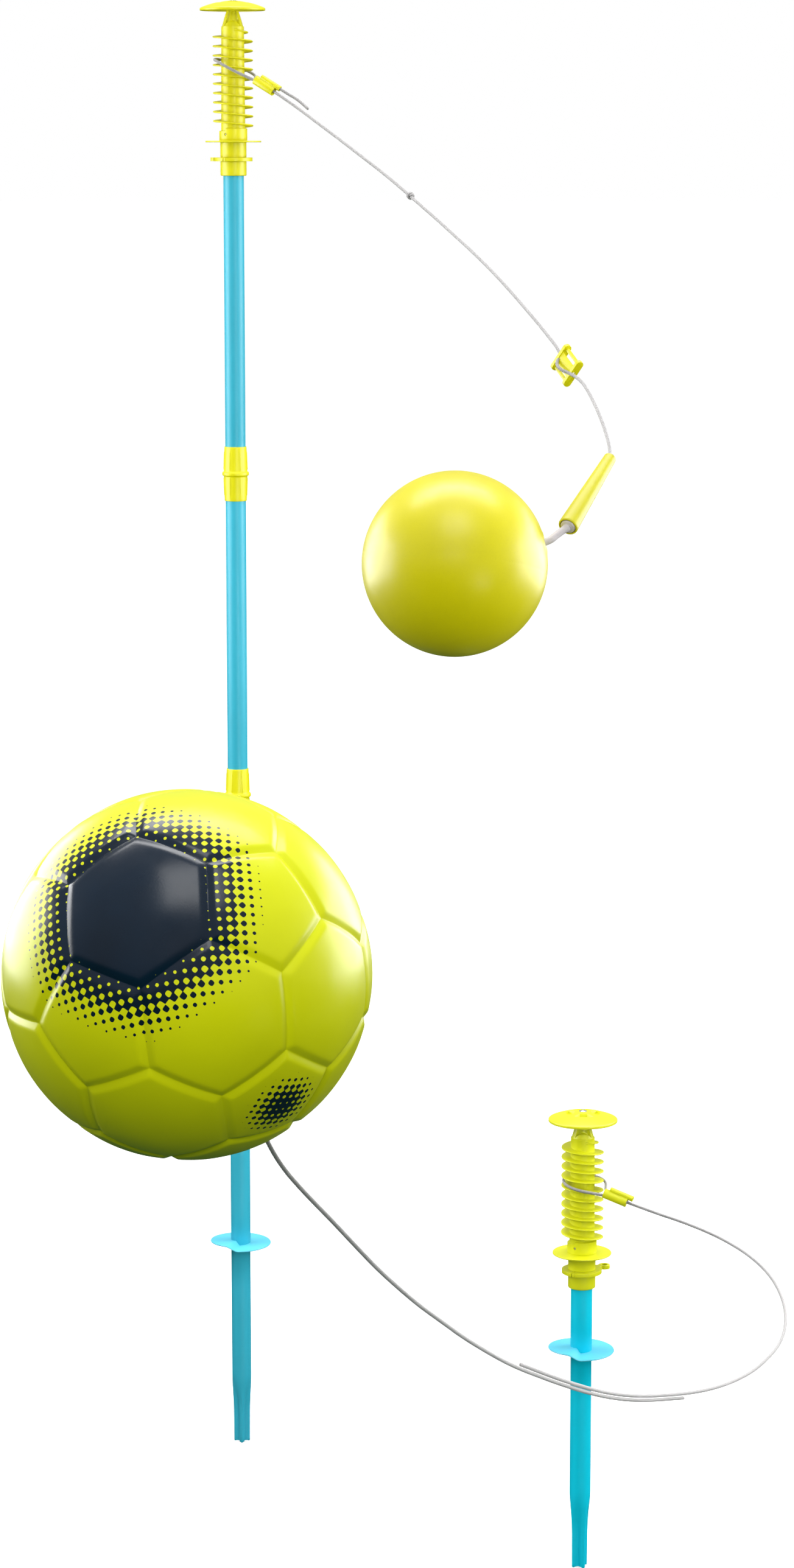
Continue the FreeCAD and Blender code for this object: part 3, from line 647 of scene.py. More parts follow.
def make_spike(name, node, place, twist, material):
    """The lowest tube: round above, pressed into four lobes below, and cut off with a notched end."""
    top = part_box(node)[1][2] / MM
    angles = all_round(96)
    lobes = np.cos(4 * (angles - math.radians(twist)))
    inner = POLE_R - POLE_WALL
    rings = []

    def outline(z):
        pressed = float(smooth(-z, -CRIMP_START, -CRIMP_END))
        beyond = max(CRIMP_END - z, 0) / (CRIMP_END - SPIKE_TIP)
        lobed = LOBED_R + LOBE_HEIGHT * lobes - 0.25 * beyond
        tube = DRIVEN_R + (POLE_R - DRIVEN_R) * float(smooth(z, -0.1, 0.1))
        return tube * (1 - pressed) + lobed * pressed

    def ring(radius, z):
        rings.append(level_ring(radius, angles, z, place))

    ring(inner, top - 6)
    ring(inner, top - 0.4)
    ring(POLE_R - 0.4, top)
    ring(POLE_R, top - 0.4)
    straight = [top - 20, 90, 40, 0.12, 0.0, -0.12, -50, -100, CRIMP_START + 4]
    for z in straight + list(np.linspace(CRIMP_START, CRIMP_END, 22)):
        ring(outline(z), z)
    for share in np.linspace(0.12, 1, 10):
        z = CRIMP_END + share * (SPIKE_TIP + 1.2 - CRIMP_END)
        ring(outline(z), z)
    notch = NOTCH_DEPTH * (0.5 - 0.5 * lobes)
    end = outline(SPIKE_TIP)
    ring(end - 0.25, SPIKE_TIP + 0.35 + notch)
    ring(end - 0.9, SPIKE_TIP + 0.1 + notch)
    ring((end - 1.1) * 0.9, SPIKE_TIP + 0.6 + notch)
    ring((end - 1.1) * 0.35, SPIKE_TIP + 7.0)
    piece = skin(name, rings, cap_start=False, sharp=50)
    seat(piece, "ground_posts", "post_blue", material, node)


def make_disc(name, node, place):
    """The plastic depth stop: a disc that climbs in one turn and drops back in a short ramp."""
    edge = DISC_T / 2
    profile = [(DISC_BORE_R, -edge), (DISC_R - 1.2, -edge), (DISC_R - 0.4, -edge * 0.75), (DISC_R, 0),
               (DISC_R - 0.4, edge * 0.75), (DISC_R - 1.2, edge), (DISC_BORE_R, edge)]
    rings = []
    for turn in np.arange(0, 360, 2.0):
        climb = DISC_RISE * min(turn / (360 - DISC_RAMP), 1)
        climb -= DISC_RISE * float(smooth(turn, 360 - DISC_RAMP, 360))
        angle = math.radians(DISC_STEP_ANGLE + turn)
        ring = [(r * math.cos(angle), r * math.sin(angle), z + climb + edge) for r, z in profile]
        rings.append(to_place(ring, place))
    piece = skin(name, rings, closed=True)
    seat(piece, "ground_posts", "disc_blue", "disc_blue", node)


COUPLING_HALF = 29.5
RIB_ANGLES = (-118, -62, 62, 118, 0, 180)
RIB_HEIGHT = 0.45


def make_coupling(name, node, body):
    """A moulded sleeve that takes one tube from each side, with a stop ring and slim draft ribs."""
    centre = centre_of(node)
    turn = all_round(180)
    rib = np.zeros(len(turn))
    for angle in RIB_ANGLES:
        rib = np.maximum(rib, 1 - smooth(degrees_apart(np.degrees(turn), angle), 1.5, 4.5))
    rings = []
    half = COUPLING_HALF
    for sign in (-1, 1):
        steps = [(11.08, half - 26, 0), (11.08, half - 0.5, 0), (11.5, half, 0), (11.85, half - 0.15, 0),
                 (12.0, half - 0.6, 0), (12.06, half - 2.2, 0), (12.16, half - 5.5, 0.2),
                 (12.2, half - 6.5, 1), (12.45, 15, 1), (12.75, 6.0, 1), (12.78, 5.0, 0.9), (12.82, 4.0, 0),
                 (12.9, 2.5, 0), (13.25, 2.05, 0), (14.0, 1.95, 0), (14.4, 1.55, 0), (14.5, 1.0, 0)]
        if sign == 1:
            steps.reverse()
        for radius, z, ribbed in steps:
            rings.append(level_ring(radius + RIB_HEIGHT * rib * ribbed, turn, sign * z, at(centre)))
    piece = skin(name, rings, cap_start=False, cap_end=False, sharp=42)
    seat(piece, body, "head_yellow", "tall_yellow", node)


# ---- heads --------------------------------------------------------------------------------------
SLEEVE_R = 14.0
SLEEVE_H = 35.5
FLANGE_R = 30.0
FLANGE_T = 1.6
SPIGOT_R = 13.0
SPIGOT_TOP = 46.0
SOCKET_R = 11.06
COLLAR_R = 15.0
COLLAR_TOP = 50.5
COLLAR_NOTCH_ANGLE = 192                    # the collar is 2.7 lower about here
BARREL_LOW_R = 12.9
BARREL_TAPER = 0.8
BARREL_TOP = 157.5
NECK_TOP = 173.8
NECK_RIB_HALF = 2.9                         # half the width of the ribs between the neck's two windows
CAP_R = 35.0
CAP_RIM = 174.0
CAP_TOP = 184.4
DOME_FALL = 163.0                           # the dome falls by radius squared over this
CAP_BAR_HALF = 3.4                          # half the width of the bars between the recesses
RECESS_INNER_R = 9.0
RECESS_OUTER_R = 17.0
RECESS_DEPTH = 4.4
STEM_R = 5.5
FIN_R = 21.6
FIN_PITCH = 9.85
FIN_FIRST_LEFT = 146.7
FIN_START = -80.0
FIN_TURNS = 10.5
SCREW_ANGLE = 237.0
SCREW_Z = 43.8


def make_socket(prefix, place):
    """The sleeve that the pole goes into, with the lock ring's groove and the wide thin flange."""
    profile = rounded([
        (SOCKET_R, 0), (SLEEVE_R, 0, 1.3), (SLEEVE_R, 15.3), (13.4, 15.3), (13.4, 19.5), (SLEEVE_R, 19.5),
        (SLEEVE_R, SLEEVE_H, 0.9), (FLANGE_R, SLEEVE_H, 0.7), (FLANGE_R, SLEEVE_H + FLANGE_T, 0.7),
        (SPIGOT_R, SLEEVE_H + FLANGE_T, 0.1), (SPIGOT_R, SPIGOT_TOP), (SOCKET_R, SPIGOT_TOP),
    ], 0.25, closed=True)
    piece = turned(prefix + "_sleeve", profile, place, columns=128, closed=True)
    seat(piece, prefix + "_head", "head_yellow", prefix + "_yellow", prefix + "_head_socket")


def barrel_radius(angles, z):
    """Radius of the barrel at height z for every angle in degrees: collar, core, neck and windows."""
    notch = 1 - smooth(degrees_apart(angles, COLLAR_NOTCH_ANGLE), 44.2, 45.8)
    collar_top = COLLAR_TOP - 2.7 * notch
    collar = 1 - smooth(z, collar_top - 0.35, collar_top)
    core = BARREL_LOW_R - BARREL_TAPER * (z - COLLAR_TOP) / (BARREL_TOP - COLLAR_TOP)
    neck_share = np.clip((z - BARREL_TOP) / (NECK_TOP - BARREL_TOP), 0, 1)
    neck = 11.3 - 4.5 * neck_share - 0.5 * neck_share ** 3
    radius = np.where(z < BARREL_TOP, core, neck)
    radius = np.where(z < COLLAR_TOP + 1.5, np.maximum(radius, core + (COLLAR_R - core) * collar), radius)
    across = radius * np.abs(np.cos(np.radians(angles)))
    half_width = radius - NECK_RIB_HALF
    arch = BARREL_TOP + 0.6 + 5.2 * np.sqrt(np.clip(1 - (across / np.maximum(half_width, 1)) ** 2, 0, 1))
    inside = smooth(half_width - across, -0.35, 0.35) * smooth(z - arch, -0.3, 0.3) * (z > BARREL_TOP)
    core_cone = 7.9 - 2.3 * neck_share
    radius = radius - inside * np.maximum(radius - core_cone, 0)
    from_screw = np.hypot((angles - SCREW_ANGLE) * math.radians(1) * COLLAR_R, z - SCREW_Z)
    return radius - 1.1 * (1 - smooth(from_screw, 1.15, 1.45))


def make_barrel(prefix, place):
    """The screw barrel: core and left-hand fin in one moulding."""
    near_screw = np.arange(SCREW_ANGLE - 8, SCREW_ANGLE + 8, 0.8)
    angles = np.unique(np.round(np.concatenate([np.arange(0, 360, 2.5), near_screw]), 2))
    heights = np.unique(np.round(np.concatenate([
        [SLEEVE_H + FLANGE_T, 37.5, 40, 42], np.arange(42, 45.7, 0.25), np.arange(47, 51.2, 0.3),
        np.arange(52, BARREL_TOP - 0.5, 3.5), [BARREL_TOP - 0.35, BARREL_TOP - 0.05, BARREL_TOP + 0.02],
        np.arange(BARREL_TOP + 0.4, NECK_TOP, 0.4), [NECK_TOP],
    ]), 3))
    turn = np.radians(angles)
    rings = []
    for z in heights:
        radius = barrel_radius(angles, z)
        if z < SLEEVE_H + FLANGE_T + 0.2:
            radius = radius - 0.25
        rings.append(level_ring(radius, turn, z, place))
    core = skin(prefix + "_barrel", rings, sharp=38)
    join(core, make_fin(prefix + "_barrel_fin", place))
    seat(core, prefix + "_head", "head_yellow", prefix + "_yellow", prefix + "_head_barrel")


def make_fin(name, place):
    """The fin's surface: a slim section with a rounded rim, wound round the barrel."""
    rings = []
    for turn in np.arange(0, FIN_TURNS * 360 + 1, 5.0):
        angle = FIN_START + turn
        middle = FIN_FIRST_LEFT - FIN_PITCH * (angle - 180) / 360
        stub = 12.4 + 5.2 * smooth(turn, 0, 120)
        rim = stub + (FIN_R - 17.6) * smooth(turn, 158, 184)
        rim -= 5.5 * smooth(turn, FIN_TURNS * 360 - 14, FIN_TURNS * 360)
        root = 11.7
        tip = [(root, -1.15), (root + 1.0, -0.86), (rim - 0.5, -0.72), (rim - 0.12, -0.45), (rim, 0),
               (rim - 0.12, 0.45), (rim - 0.5, 0.72), (root + 1.0, 0.86), (root, 1.15)]
        c, s = math.cos(math.radians(angle)), math.sin(math.radians(angle))
        rings.append(to_place([(r * c, r * s, middle + z) for r, z in tip], place))
    return skin(name, rings, sharp=50)


def join(piece, other):
    """Adds the mesh of other to piece and removes other."""
    work = bmesh.new()
    work.from_mesh(piece.data)
    work.from_mesh(other.data)
    work.to_mesh(piece.data)
    work.free()
    piece.data.shade_smooth()
    piece.data.set_sharp_from_angle(angle=math.radians(40))
    bpy.data.objects.remove(other)


def make_cap(prefix, place, bar_turn):
    """The wide cap: a shallow dome with four curved recesses, a rounded rim and its stem below."""
    turn = all_round(160)

    def dome(radius):
        z = CAP_TOP - radius ** 2 / DOME_FALL
        x, y = radius * np.cos(turn - bar_turn), radius * np.sin(turn - bar_turn)
        clear = np.minimum(np.abs(x), np.abs(y)) - CAP_BAR_HALF
        band = min(radius - RECESS_INNER_R, RECESS_OUTER_R - radius)
        depth = smooth(np.minimum(clear, band), -0.35, 0.55)
        return z - depth * (z - (CAP_TOP - RECESS_DEPTH))

    middle = [0.8, 2.0, 4.0, 6.0, 7.4]
    recesses = list(np.arange(8.2, 18.2, 0.35))
    outline = [(radius, dome(radius)) for radius in middle + recesses + [20, 23, 26, 29, 31.5, 33.2]]
    rim = [(33.6, dome(33.6)[0]), (CAP_R, CAP_RIM + 2.6, 1.4), (CAP_R, CAP_RIM, 1.4), (33.0, CAP_RIM)]
    outline += [tuple(point) for point in rounded(rim, 0.5)]
    outline += [(31.5, CAP_RIM + 0.1), (30.9, CAP_RIM + 0.9), (22, CAP_RIM + 1.3), (12, CAP_RIM + 1.1),
                (7.4, CAP_RIM + 0.4), (5.9, CAP_RIM - 0.1), (STEM_R, CAP_RIM - 1.0), (STEM_R, 160),
                (STEM_R - 0.5, 158)]
    piece = skin(prefix + "_cap", [level_ring(radius, turn, z, place) for radius, z in outline], sharp=38)
    seat(piece, prefix + "_head", "head_yellow", prefix + "_yellow", prefix + "_head_cap")


def make_screw_head(name, node, body, place, radius, length):
    """A low domed fastener with a cross recess."""
    turn = all_round(72)
    rings = []
    for share in (0.06, 0.14, 0.22, 0.3, 0.38, 0.46, 0.54, 0.62, 0.72, 0.82, 0.92, 1.0):
        r = radius * share
        x, y = np.abs(r * np.cos(turn)), np.abs(r * np.sin(turn))
        arm = radius * 0.15
        in_cross = (1 - smooth(np.minimum(x, y), arm * 0.8, arm * 1.2)) * (1 - smooth(share, 0.46, 0.6))
        z = radius * 0.32 * (1 - share ** 2) - radius * 0.34 * in_cross
        rings.append(level_ring(r, turn, z, place))
    for r, z in ((radius, -0.25), (radius * 0.86, -0.35), (radius * 0.45, -0.4), (radius * 0.45, -length)):
        rings.append(level_ring(r, turn, z, place))
    seat(skin(name, rings, sharp=35), body, "pin_grey", "steel", node)


def make_head(prefix, origin, bar_turn):
    """One spiral head with its stowing ring, cap screw and side screw."""
    place = at(origin)
    make_socket(prefix, place)
    make_barrel(prefix, place)
    make_cap(prefix, place, bar_turn)
    pin_place = place @ at((0, 0, (CAP_TOP + 0.35) * MM))
    make_screw_head(prefix + "_cap_screw", prefix + "_cap_pin", prefix + "_carrier", pin_place, 4.0, 12)
    turn = math.radians(SCREW_ANGLE)
    outward = Vector((math.cos(turn), math.sin(turn), 0))
    hole = facing(origin + outward * (14.15 * MM) + Vector((0, 0, SCREW_Z * MM)), outward, (0, 0, 1))
    make_screw_head(prefix + "_side_screw", prefix + "_head_screw", prefix + "_head", hole, 1.05, 2.4)
    lock = softened(prefix + "_stow_ring", prefix + "_lock_ring", 0.9)
    seat(lock, prefix + "_ring", "head_yellow", prefix + "_yellow", prefix + "_lock_ring")


def make_posts():
    tall, short = at((0, 0, 0)), at((SHORT.x, SHORT.y, 0))
    make_spike("tall_ground_spike", "tall_spike", tall, 0, "tall_blue")
    make_spike("short_ground_spike", "short_spike", short, 30, "short_blue")
    make_disc("tall_depth_disc", "tall_ground_disc", tall)
    make_disc("short_depth_disc", "short_ground_disc", short)
    for part in ("lower", "middle", "upper"):
        make_pole(part + "_tube", part + "_pole", part + "_mast")
    for part, body in (("spike", "ground_posts"), ("lower", "lower_mast"), ("upper", "middle_mast")):
        make_coupling(part + "_sleeve", part + "_coupling", body)


# ---- tether hardware ----------------------------------------------------------------------------
GRIP_TOP = Vector((0.3505, -1.026, 0.966))
GRIP_LOW = Vector((0.313, -1.095, 0.916))
GRIP_SPAN = GRIP_LOW - GRIP_TOP
GRIP_BORE_R = 4.1
GRIP_MOUTH_DEPTH = 8.0
BALL_ENTRY = Vector((0.970, -0.053, 0.236)).normalized()
LUG_WAY = Vector((0.30, 0.52, -0.80)).normalized()
VALVE_WAY = Vector((-0.2, 0.35, 0.915)).normalized()
TETHER_BALL_R = 0.075
TAIL_HOLE_R = 3.4
PARTING_DEPTH = 0.22
FOOTBALL_R = 0.110


def make_clamps():
    """The two cord clamps and the tall cord's adjuster."""
    for prefix in ("tall", "short"):
        clamp = softened(prefix + "_clamp", prefix + "_cord_clamp", 0.5)
        seat(clamp, prefix + "_tether", "head_yellow", prefix + "_yellow", prefix + "_cord_clamp")
    adjuster = softened("length_adjuster", "cord_adjuster", 0.45)
    seat(adjuster, "tall_tether", "head_yellow", "tall_yellow", "cord_adjuster")


def make_grip():
    """The tapering grip, with the bush at its top and the plug in its wide end."""
    length = GRIP_SPAN.length / MM
    place = facing(GRIP_TOP, GRIP_SPAN, (0, 0, 1))
    mouth = length - GRIP_MOUTH_DEPTH
    profile = rounded([(GRIP_BORE_R, 0), (5.2, 0, 0.9), (8.3, length - 1.2, 1.4), (7.8, length, 0.8),
                       (6.75, length, 0.5), (6.75, mouth + 0.3), (GRIP_BORE_R, mouth - 1.7)], 0.3,
                      closed=True)
    grip = turned("grip_tube", profile, place, columns=72, closed=True)
    seat(grip, "grip", "grip_yellow", "grip", "grip_sleeve")
    profile = rounded([(1.6, -1.2), (4.5, -1.2, 0.6), (4.6, -0.3, 0.3), (3.95, -0.3), (3.95, 9), (1.6, 9)],
                      0.15, closed=True)
    bush = turned("grip_bush", profile, place, columns=64, closed=True)
    seat(bush, "tall_tether", "tail_white", "tail", "grip_top_bush")
    profile = rounded([(0.01, mouth + 0.5), (6.2, mouth + 0.5), (6.2, length + 0.1, 0.5),
                       (5.6, length + 0.7, 0.7), (4.0, length + 1.0), (3.5, length + 1.5, 0.6),
                       (0.01, length + 1.6)], 0.3)
    plug = turned("grip_plug", profile, place, columns=64)
    seat(plug, "tall_tether", "tail_white", "tail", "grip_end_plug")


def make_tail():
    """The thick fluted tail from the grip into the tether ball, a little wider where it leaves the plug."""
    start = GRIP_LOW + GRIP_SPAN.normalized() * 0.0006
    entry = TETHER_BALL + BALL_ENTRY * TETHER_BALL_R
    route = [start, start.lerp(entry, 0.5), entry + BALL_ENTRY * 0.003, entry - BALL_ENTRY * 0.008]
    line, length = centreline([tuple(p) for p in route], 0.0008)
    flutes = TAIL_FLUTE_DEPTH * np.cos(TAIL_FLUTES * all_round(TAIL_COLUMNS))
    gone = np.linspace(0, length, len(line))[:, None]
    radii = TAIL_D / 2 + flutes[None, :] + 0.0006 * (1 - smooth(gone, 0, 0.006))
    tail = tube_mesh("ball_tail_tube", line, radii, TAIL_COLUMNS)
    seat(tail, "tall_tether", "tail_white", "tail", "ball_tail")


def knot_line(centre, way, size, turns):
    """A strand wound round the cord and tucked back under itself."""
    frame_at = np.array(facing(centre, way, (0, 0, 1)), float)
    points = []
    count = int(24 * turns)
    for step in range(count + 1):
        share = step / count
        angle = TAU * turns * share
        radius = size * (0.55 + 0.45 * math.sin(math.pi * share) ** 0.5)
        along = size * 1.15 * (2 * share - 1) + 0.18 * size * math.sin(angle)
        points.append((radius * math.cos(angle), radius * math.sin(angle), along))
    return np.asarray(points) @ frame_at[:3, :3].T + frame_at[:3, 3]


def make_knot(name, node, body, centre, way, size, turns, thickness):
    line = knot_line(centre, way, size, turns)
    knot = tube_mesh(name, line, np.full((len(line), 12), thickness / 2), 12)
    seat(knot, body, "cord_white", "cord", node)


def make_knots():
    """The stopper knot half way down the tall cord, and the knot that seats in the football's lug."""
    middle = centre_of("cord_knot")
    make_knot("tall_knot", "cord_knot", "tall_tether", middle, (20, -48, -17), 0.0026, 2.4, 0.0028)
    above = FOOTBALL + LUG_WAY * (FOOTBALL_R + 0.0012)
    make_knot("football_knot", "football_cord_knot", "short_tether", above, LUG_WAY, 0.0029, 3.2, 0.0030)


# ---- balls --------------------------------------------------------------------------------------
def make_tether_ball():
    """The small ball: a moulded skin with a faint parting line, dimpled where the tail goes in."""
    size = TETHER_BALL_R / MM
    place = facing(TETHER_BALL, BALL_ENTRY, (0, 0, 1))
    parting = Vector((0.12, 0.22, 0.97)).normalized()
    turn = all_round(240)
    hole = math.asin(TAIL_HOLE_R / size)
    rings = []
    angles = np.concatenate([hole + np.linspace(0, 0.16, 16), np.linspace(hole + 0.18, math.pi - 0.01, 150)])
    matrix = np.array(place, float)[:3, :3]
    for down in angles:
        ways = np.stack([math.sin(down) * np.cos(turn), math.sin(down) * np.sin(turn),
                         np.full(len(turn), math.cos(down))], axis=1)
        world = ways @ matrix.T
        from_line = np.arcsin(np.clip(world @ np.array(parting), -1, 1)) * size
        radius = size - PARTING_DEPTH * np.exp(-(from_line / 0.55) ** 2)
        lip = (down - hole) * size              # a dimple, a raised lip round it, and a wide shallow dip
        radius = radius - 1.6 * math.exp(-(lip / 2.2) ** 2)
        radius = radius + 0.45 * math.exp(-((lip - 4.6) / 1.8) ** 2)
        radius = radius - 0.3 * math.exp(-(lip / 9) ** 2)
        rings.append(to_place(ways * radius[:, None], place))
    mouth = rings[0].mean(axis=0)
    inner = [(rings[0] - mouth) * share + mouth - np.array(BALL_ENTRY) * depth
             for share, depth in ((0.98, 0.004), (0.97, 0.012))]
    ball = skin("tether_ball", inner[::-1] + rings, sharp=60)
    seat(ball, "tether_ball", "ball_yellow", "foam", "tether_ball_skin", "tether_ball_anchor")


PANEL_CENTRE = (-106.56, 33.10)             # azimuth and elevation of the dark panel, in degrees
PANEL_ROLL = 47.34
PANEL_SPREAD = 0.10                         # panels grow a little from the dark one's middle outwards
PATCH_CENTRE = (-50.0, -35.0)
PANEL_STEPS = 26                            # rows of triangles from a panel's middle to its rim
PANEL_CROWN = 0.35                          # millimetres, like the next four
DARK_SUNK = 0.55                            # the dark panel lies this much lower than the others
GROOVE_HALF = 5.0
GROOVE_DEPTH = 1.9
LUG_SEAT_R = 11.0


def panel_corners():
    """Unit corners of the 32 panels: the 12 pentagons and 20 hexagons of a classic football."""
    golden = (1 + math.sqrt(5)) / 2
    corners = set()
    for a, b, c in ((0, 1, 3 * golden), (1, 2 + golden, 2 * golden), (golden, 2, 2 * golden + 1)):
        for signs in range(8):
            x, y, z = (value * (1 if signs >> bit & 1 else -1) for bit, value in enumerate((a, b, c)))
            for point in ((x, y, z), (y, z, x), (z, x, y)):
                corners.add(tuple(round(value, 9) + 0.0 for value in point))
    corners = np.array(sorted(corners))
    return corners / np.linalg.norm(corners[0])


def panel_rings(corners):
    """Each panel's corner numbers in order round it, hexagons first."""
    gaps = np.linalg.norm(corners[:, None] - corners[None], axis=2)
    side = gaps[gaps > 1e-6].min()
    beside = np.abs(gaps - side) < 1e-3
    panels = set()
    for i in range(len(corners)):
        near = np.where(beside[i])[0]
        for j in near:
            for k in near:
                if j == k:
                    continue
                normal = np.cross(corners[j] - corners[i], corners[k] - corners[i])
                flat = (corners - corners[i]) @ normal
                if (flat < 1e-6).all():
                    panels.add(tuple(np.where(np.abs(flat) < 1e-6)[0]))
    ordered = []
    for panel in panels:
        points = corners[list(panel)]
        middle = unit(points.mean(axis=0))
        across = square_to(middle, points[0])
        up = np.cross(middle, across)
        around = np.arctan2(points @ up, points @ across)
        ordered.append([panel[index] for index in np.argsort(around)])
    return sorted(ordered, key=lambda p: (-len(p), p))


def way_at(azimuth, elevation):
    a, e = math.radians(azimuth), math.radians(elevation)
    return np.array((math.cos(e) * math.cos(a), math.cos(e) * math.sin(a), math.sin(e)))


def frame_about(way, roll):
    """Columns: two directions across the sphere at way, turned by roll degrees, and way itself."""
    up = square_to(way, np.array((0, 0, 1.0)))
    right = np.cross(up, way)
    c, s = math.cos(math.radians(roll)), math.sin(math.radians(roll))
    first = up * c + right * s
    return np.stack([first, np.cross(way, first), way], axis=1)


def spread(points, middle):
    """Moves unit points away from middle, by a little more the further round they are."""
    cosine = np.clip(points @ middle, -1, 1)
    angle = np.arccos(cosine)
    across = points - middle * cosine[:, None]
    size = np.linalg.norm(across, axis=1)[:, None]
    across = np.where(size > 1e-9, across / np.maximum(size, 1e-9), 0)
    wider = angle + PANEL_SPREAD * np.sin(angle)
    return middle * np.cos(wider)[:, None] + across * np.sin(wider)[:, None]


def panel_mesh(corners, panels):
    """Every panel as triangles that fan out from its middle, and the number of each point's panel."""
    rows = 1 - (1 - np.arange(PANEL_STEPS + 1) / PANEL_STEPS) ** 1.35
    points, faces, home = [], [], []
    for number, panel in enumerate(panels):
        hub = unit(corners[panel].mean(axis=0))
        for index, corner in enumerate(panel):
            here, after = corners[corner], corners[panel[(index + 1) % len(panel)]]
            start = len(points)
            for row in range(PANEL_STEPS + 1):
                for column in range(row + 1):
                    along = column / row if row else 0.0
                    rim = here * (1 - along) + after * along
                    points.append(unit(hub * (1 - rows[row]) + rim * rows[row]))
                    home.append(number)
            for row in range(PANEL_STEPS):
                for column in range(row + 1):
                    above = start + row * (row + 1) // 2 + column
                    below = start + (row + 1) * (row + 2) // 2 + column
                    faces.append((above, below, below + 1))
                    if column < row:
                        faces.append((above, below + 1, above + 1))
    return np.array(points), faces, np.array(home)


def seam_gap(points, corners, panels):
    """Millimetres from every unit point to the nearest seam between panels."""
    seams = set()
    for panel in panels:
        for index, corner in enumerate(panel):
            seams.add(tuple(sorted((corner, panel[(index + 1) % len(panel)]))))
    nearest = np.full(len(points), 1e9)
    for a, b in seams:
        start, chord = corners[a], corners[b] - corners[a]
        share = np.clip((points - start) @ chord / (chord @ chord), 0, 1)
        foot = start + share[:, None] * chord
        gap = np.linalg.norm(points - foot, axis=1)
        level = 1 - np.linalg.norm(foot, axis=1)
        nearest = np.minimum(nearest, np.sqrt(np.maximum(gap ** 2 - level ** 2, 0)))
    return nearest * (FOOTBALL_R / MM)


def make_football():
    """The football: every panel a crowned face between soft V grooves, with its print as attributes."""
    corners = panel_corners()
    panels = panel_rings(corners)
    dark = panels[0]
    middle = unit(corners[dark].mean(axis=0))
    first = square_to(middle, corners[dark[0]])
    local = np.stack([first, np.cross(middle, first), middle], axis=1)
    turn = frame_about(way_at(*PANEL_CENTRE), PANEL_ROLL) @ local.T
    points, faces, home = panel_mesh(corners, panels)
    nearest = seam_gap(points, corners, panels)
    seen = spread(points, middle) @ turn.T
    size = FOOTBALL_R / MM

    def gap_from(way):
        return np.arccos(np.clip(seen @ np.array(way), -1, 1)) * size

    dip = np.clip(1 - nearest / GROOVE_HALF, 0, 1)
    groove = GROOVE_DEPTH * (dip ** 1.6 * (3 - dip) / 2)
    radius = size - PANEL_CROWN + PANEL_CROWN * smooth(nearest, 0, 24) - groove
    radius = radius - np.where(home == 0, DARK_SUNK * smooth(nearest, 0.0, 5.0), 0)
    lug, valve = gap_from(LUG_WAY), gap_from(VALVE_WAY)
    radius = np.where(lug < LUG_SEAT_R, np.minimum(radius, size - PANEL_CROWN), radius)
    radius = radius - 1.2 * (1 - smooth(lug, 3.6, 5.4))
    radius = radius - 1.4 * (1 - smooth(valve, 3.8, 4.6)) + 0.25 * np.exp(-((valve - 6.2) / 1.2) ** 2)
    ball = mesh_piece("football", seen * radius[:, None] * MM + np.array(FOOTBALL), faces, sharp=75)

    ways = np.array([v.co[:] for v in ball.data.vertices]) - np.array(FOOTBALL)
    ways /= np.linalg.norm(ways, axis=1)[:, None]
    write_print(ball.data, "print", ways, way_at(*PANEL_CENTRE), PANEL_ROLL, panel_share)
    write_print(ball.data, "patch", ways, way_at(*PATCH_CENTRE), 0.0, patch_share)
    seat(ball, "football", "football_yellow", "football", "football_cover", "football_bladder")


def write_print(data, name, ways, middle, roll, share_of):
    """Stores (across, up, ink share) about middle; across and up are metres along the surface."""
    frame_at = frame_about(middle, roll)
    local = ways @ frame_at
    angle = np.arccos(np.clip(local[:, 2], -1, 1))
    flat = local[:, :2] / np.maximum(np.linalg.norm(local[:, :2], axis=1), 1e-9)[:, None]
    across = flat * (angle * FOOTBALL_R)[:, None]
    values = np.column_stack([across, share_of(across)])
    layer = data.attributes.new(name, "FLOAT_VECTOR", "POINT")
    layer.data.foreach_set("vector", values.astype(np.float32).ravel())


PANEL_REACH = 0.0485                        # from the dark panel's middle to its corners, along the surface
FADE_REACH = 0.0168                         # the ink thins out over about this width
PATCH_R = 0.0165


def panel_share(across):
    """Ink share about the hexagonal panel: all ink inside it, fading to none some way outside."""
    around = np.arctan2(across[:, 1], across[:, 0])
    to_side = (np.abs((around + TAU / 12) % (TAU / 6) - TAU / 12) - TAU / 12)
    reach = np.linalg.norm(across, axis=1)
    from_middle = reach * np.cos(to_side)
    outside = from_middle - PANEL_REACH * math.cos(TAU / 12)
    blend = 0.5 * (reach - PANEL_REACH * 0.93) + 0.5 * outside
    return 1.12 - 0.5 * np.clip((blend + 0.004) / FADE_REACH, -0.3, 3)


def patch_share(across):
    """Ink share of the small round patch, nearly solid in its middle."""
    share = np.linalg.norm(across, axis=1) / PATCH_R
    return np.where(share < 2, 1.02 - 0.62 * share ** 1.2, -1)


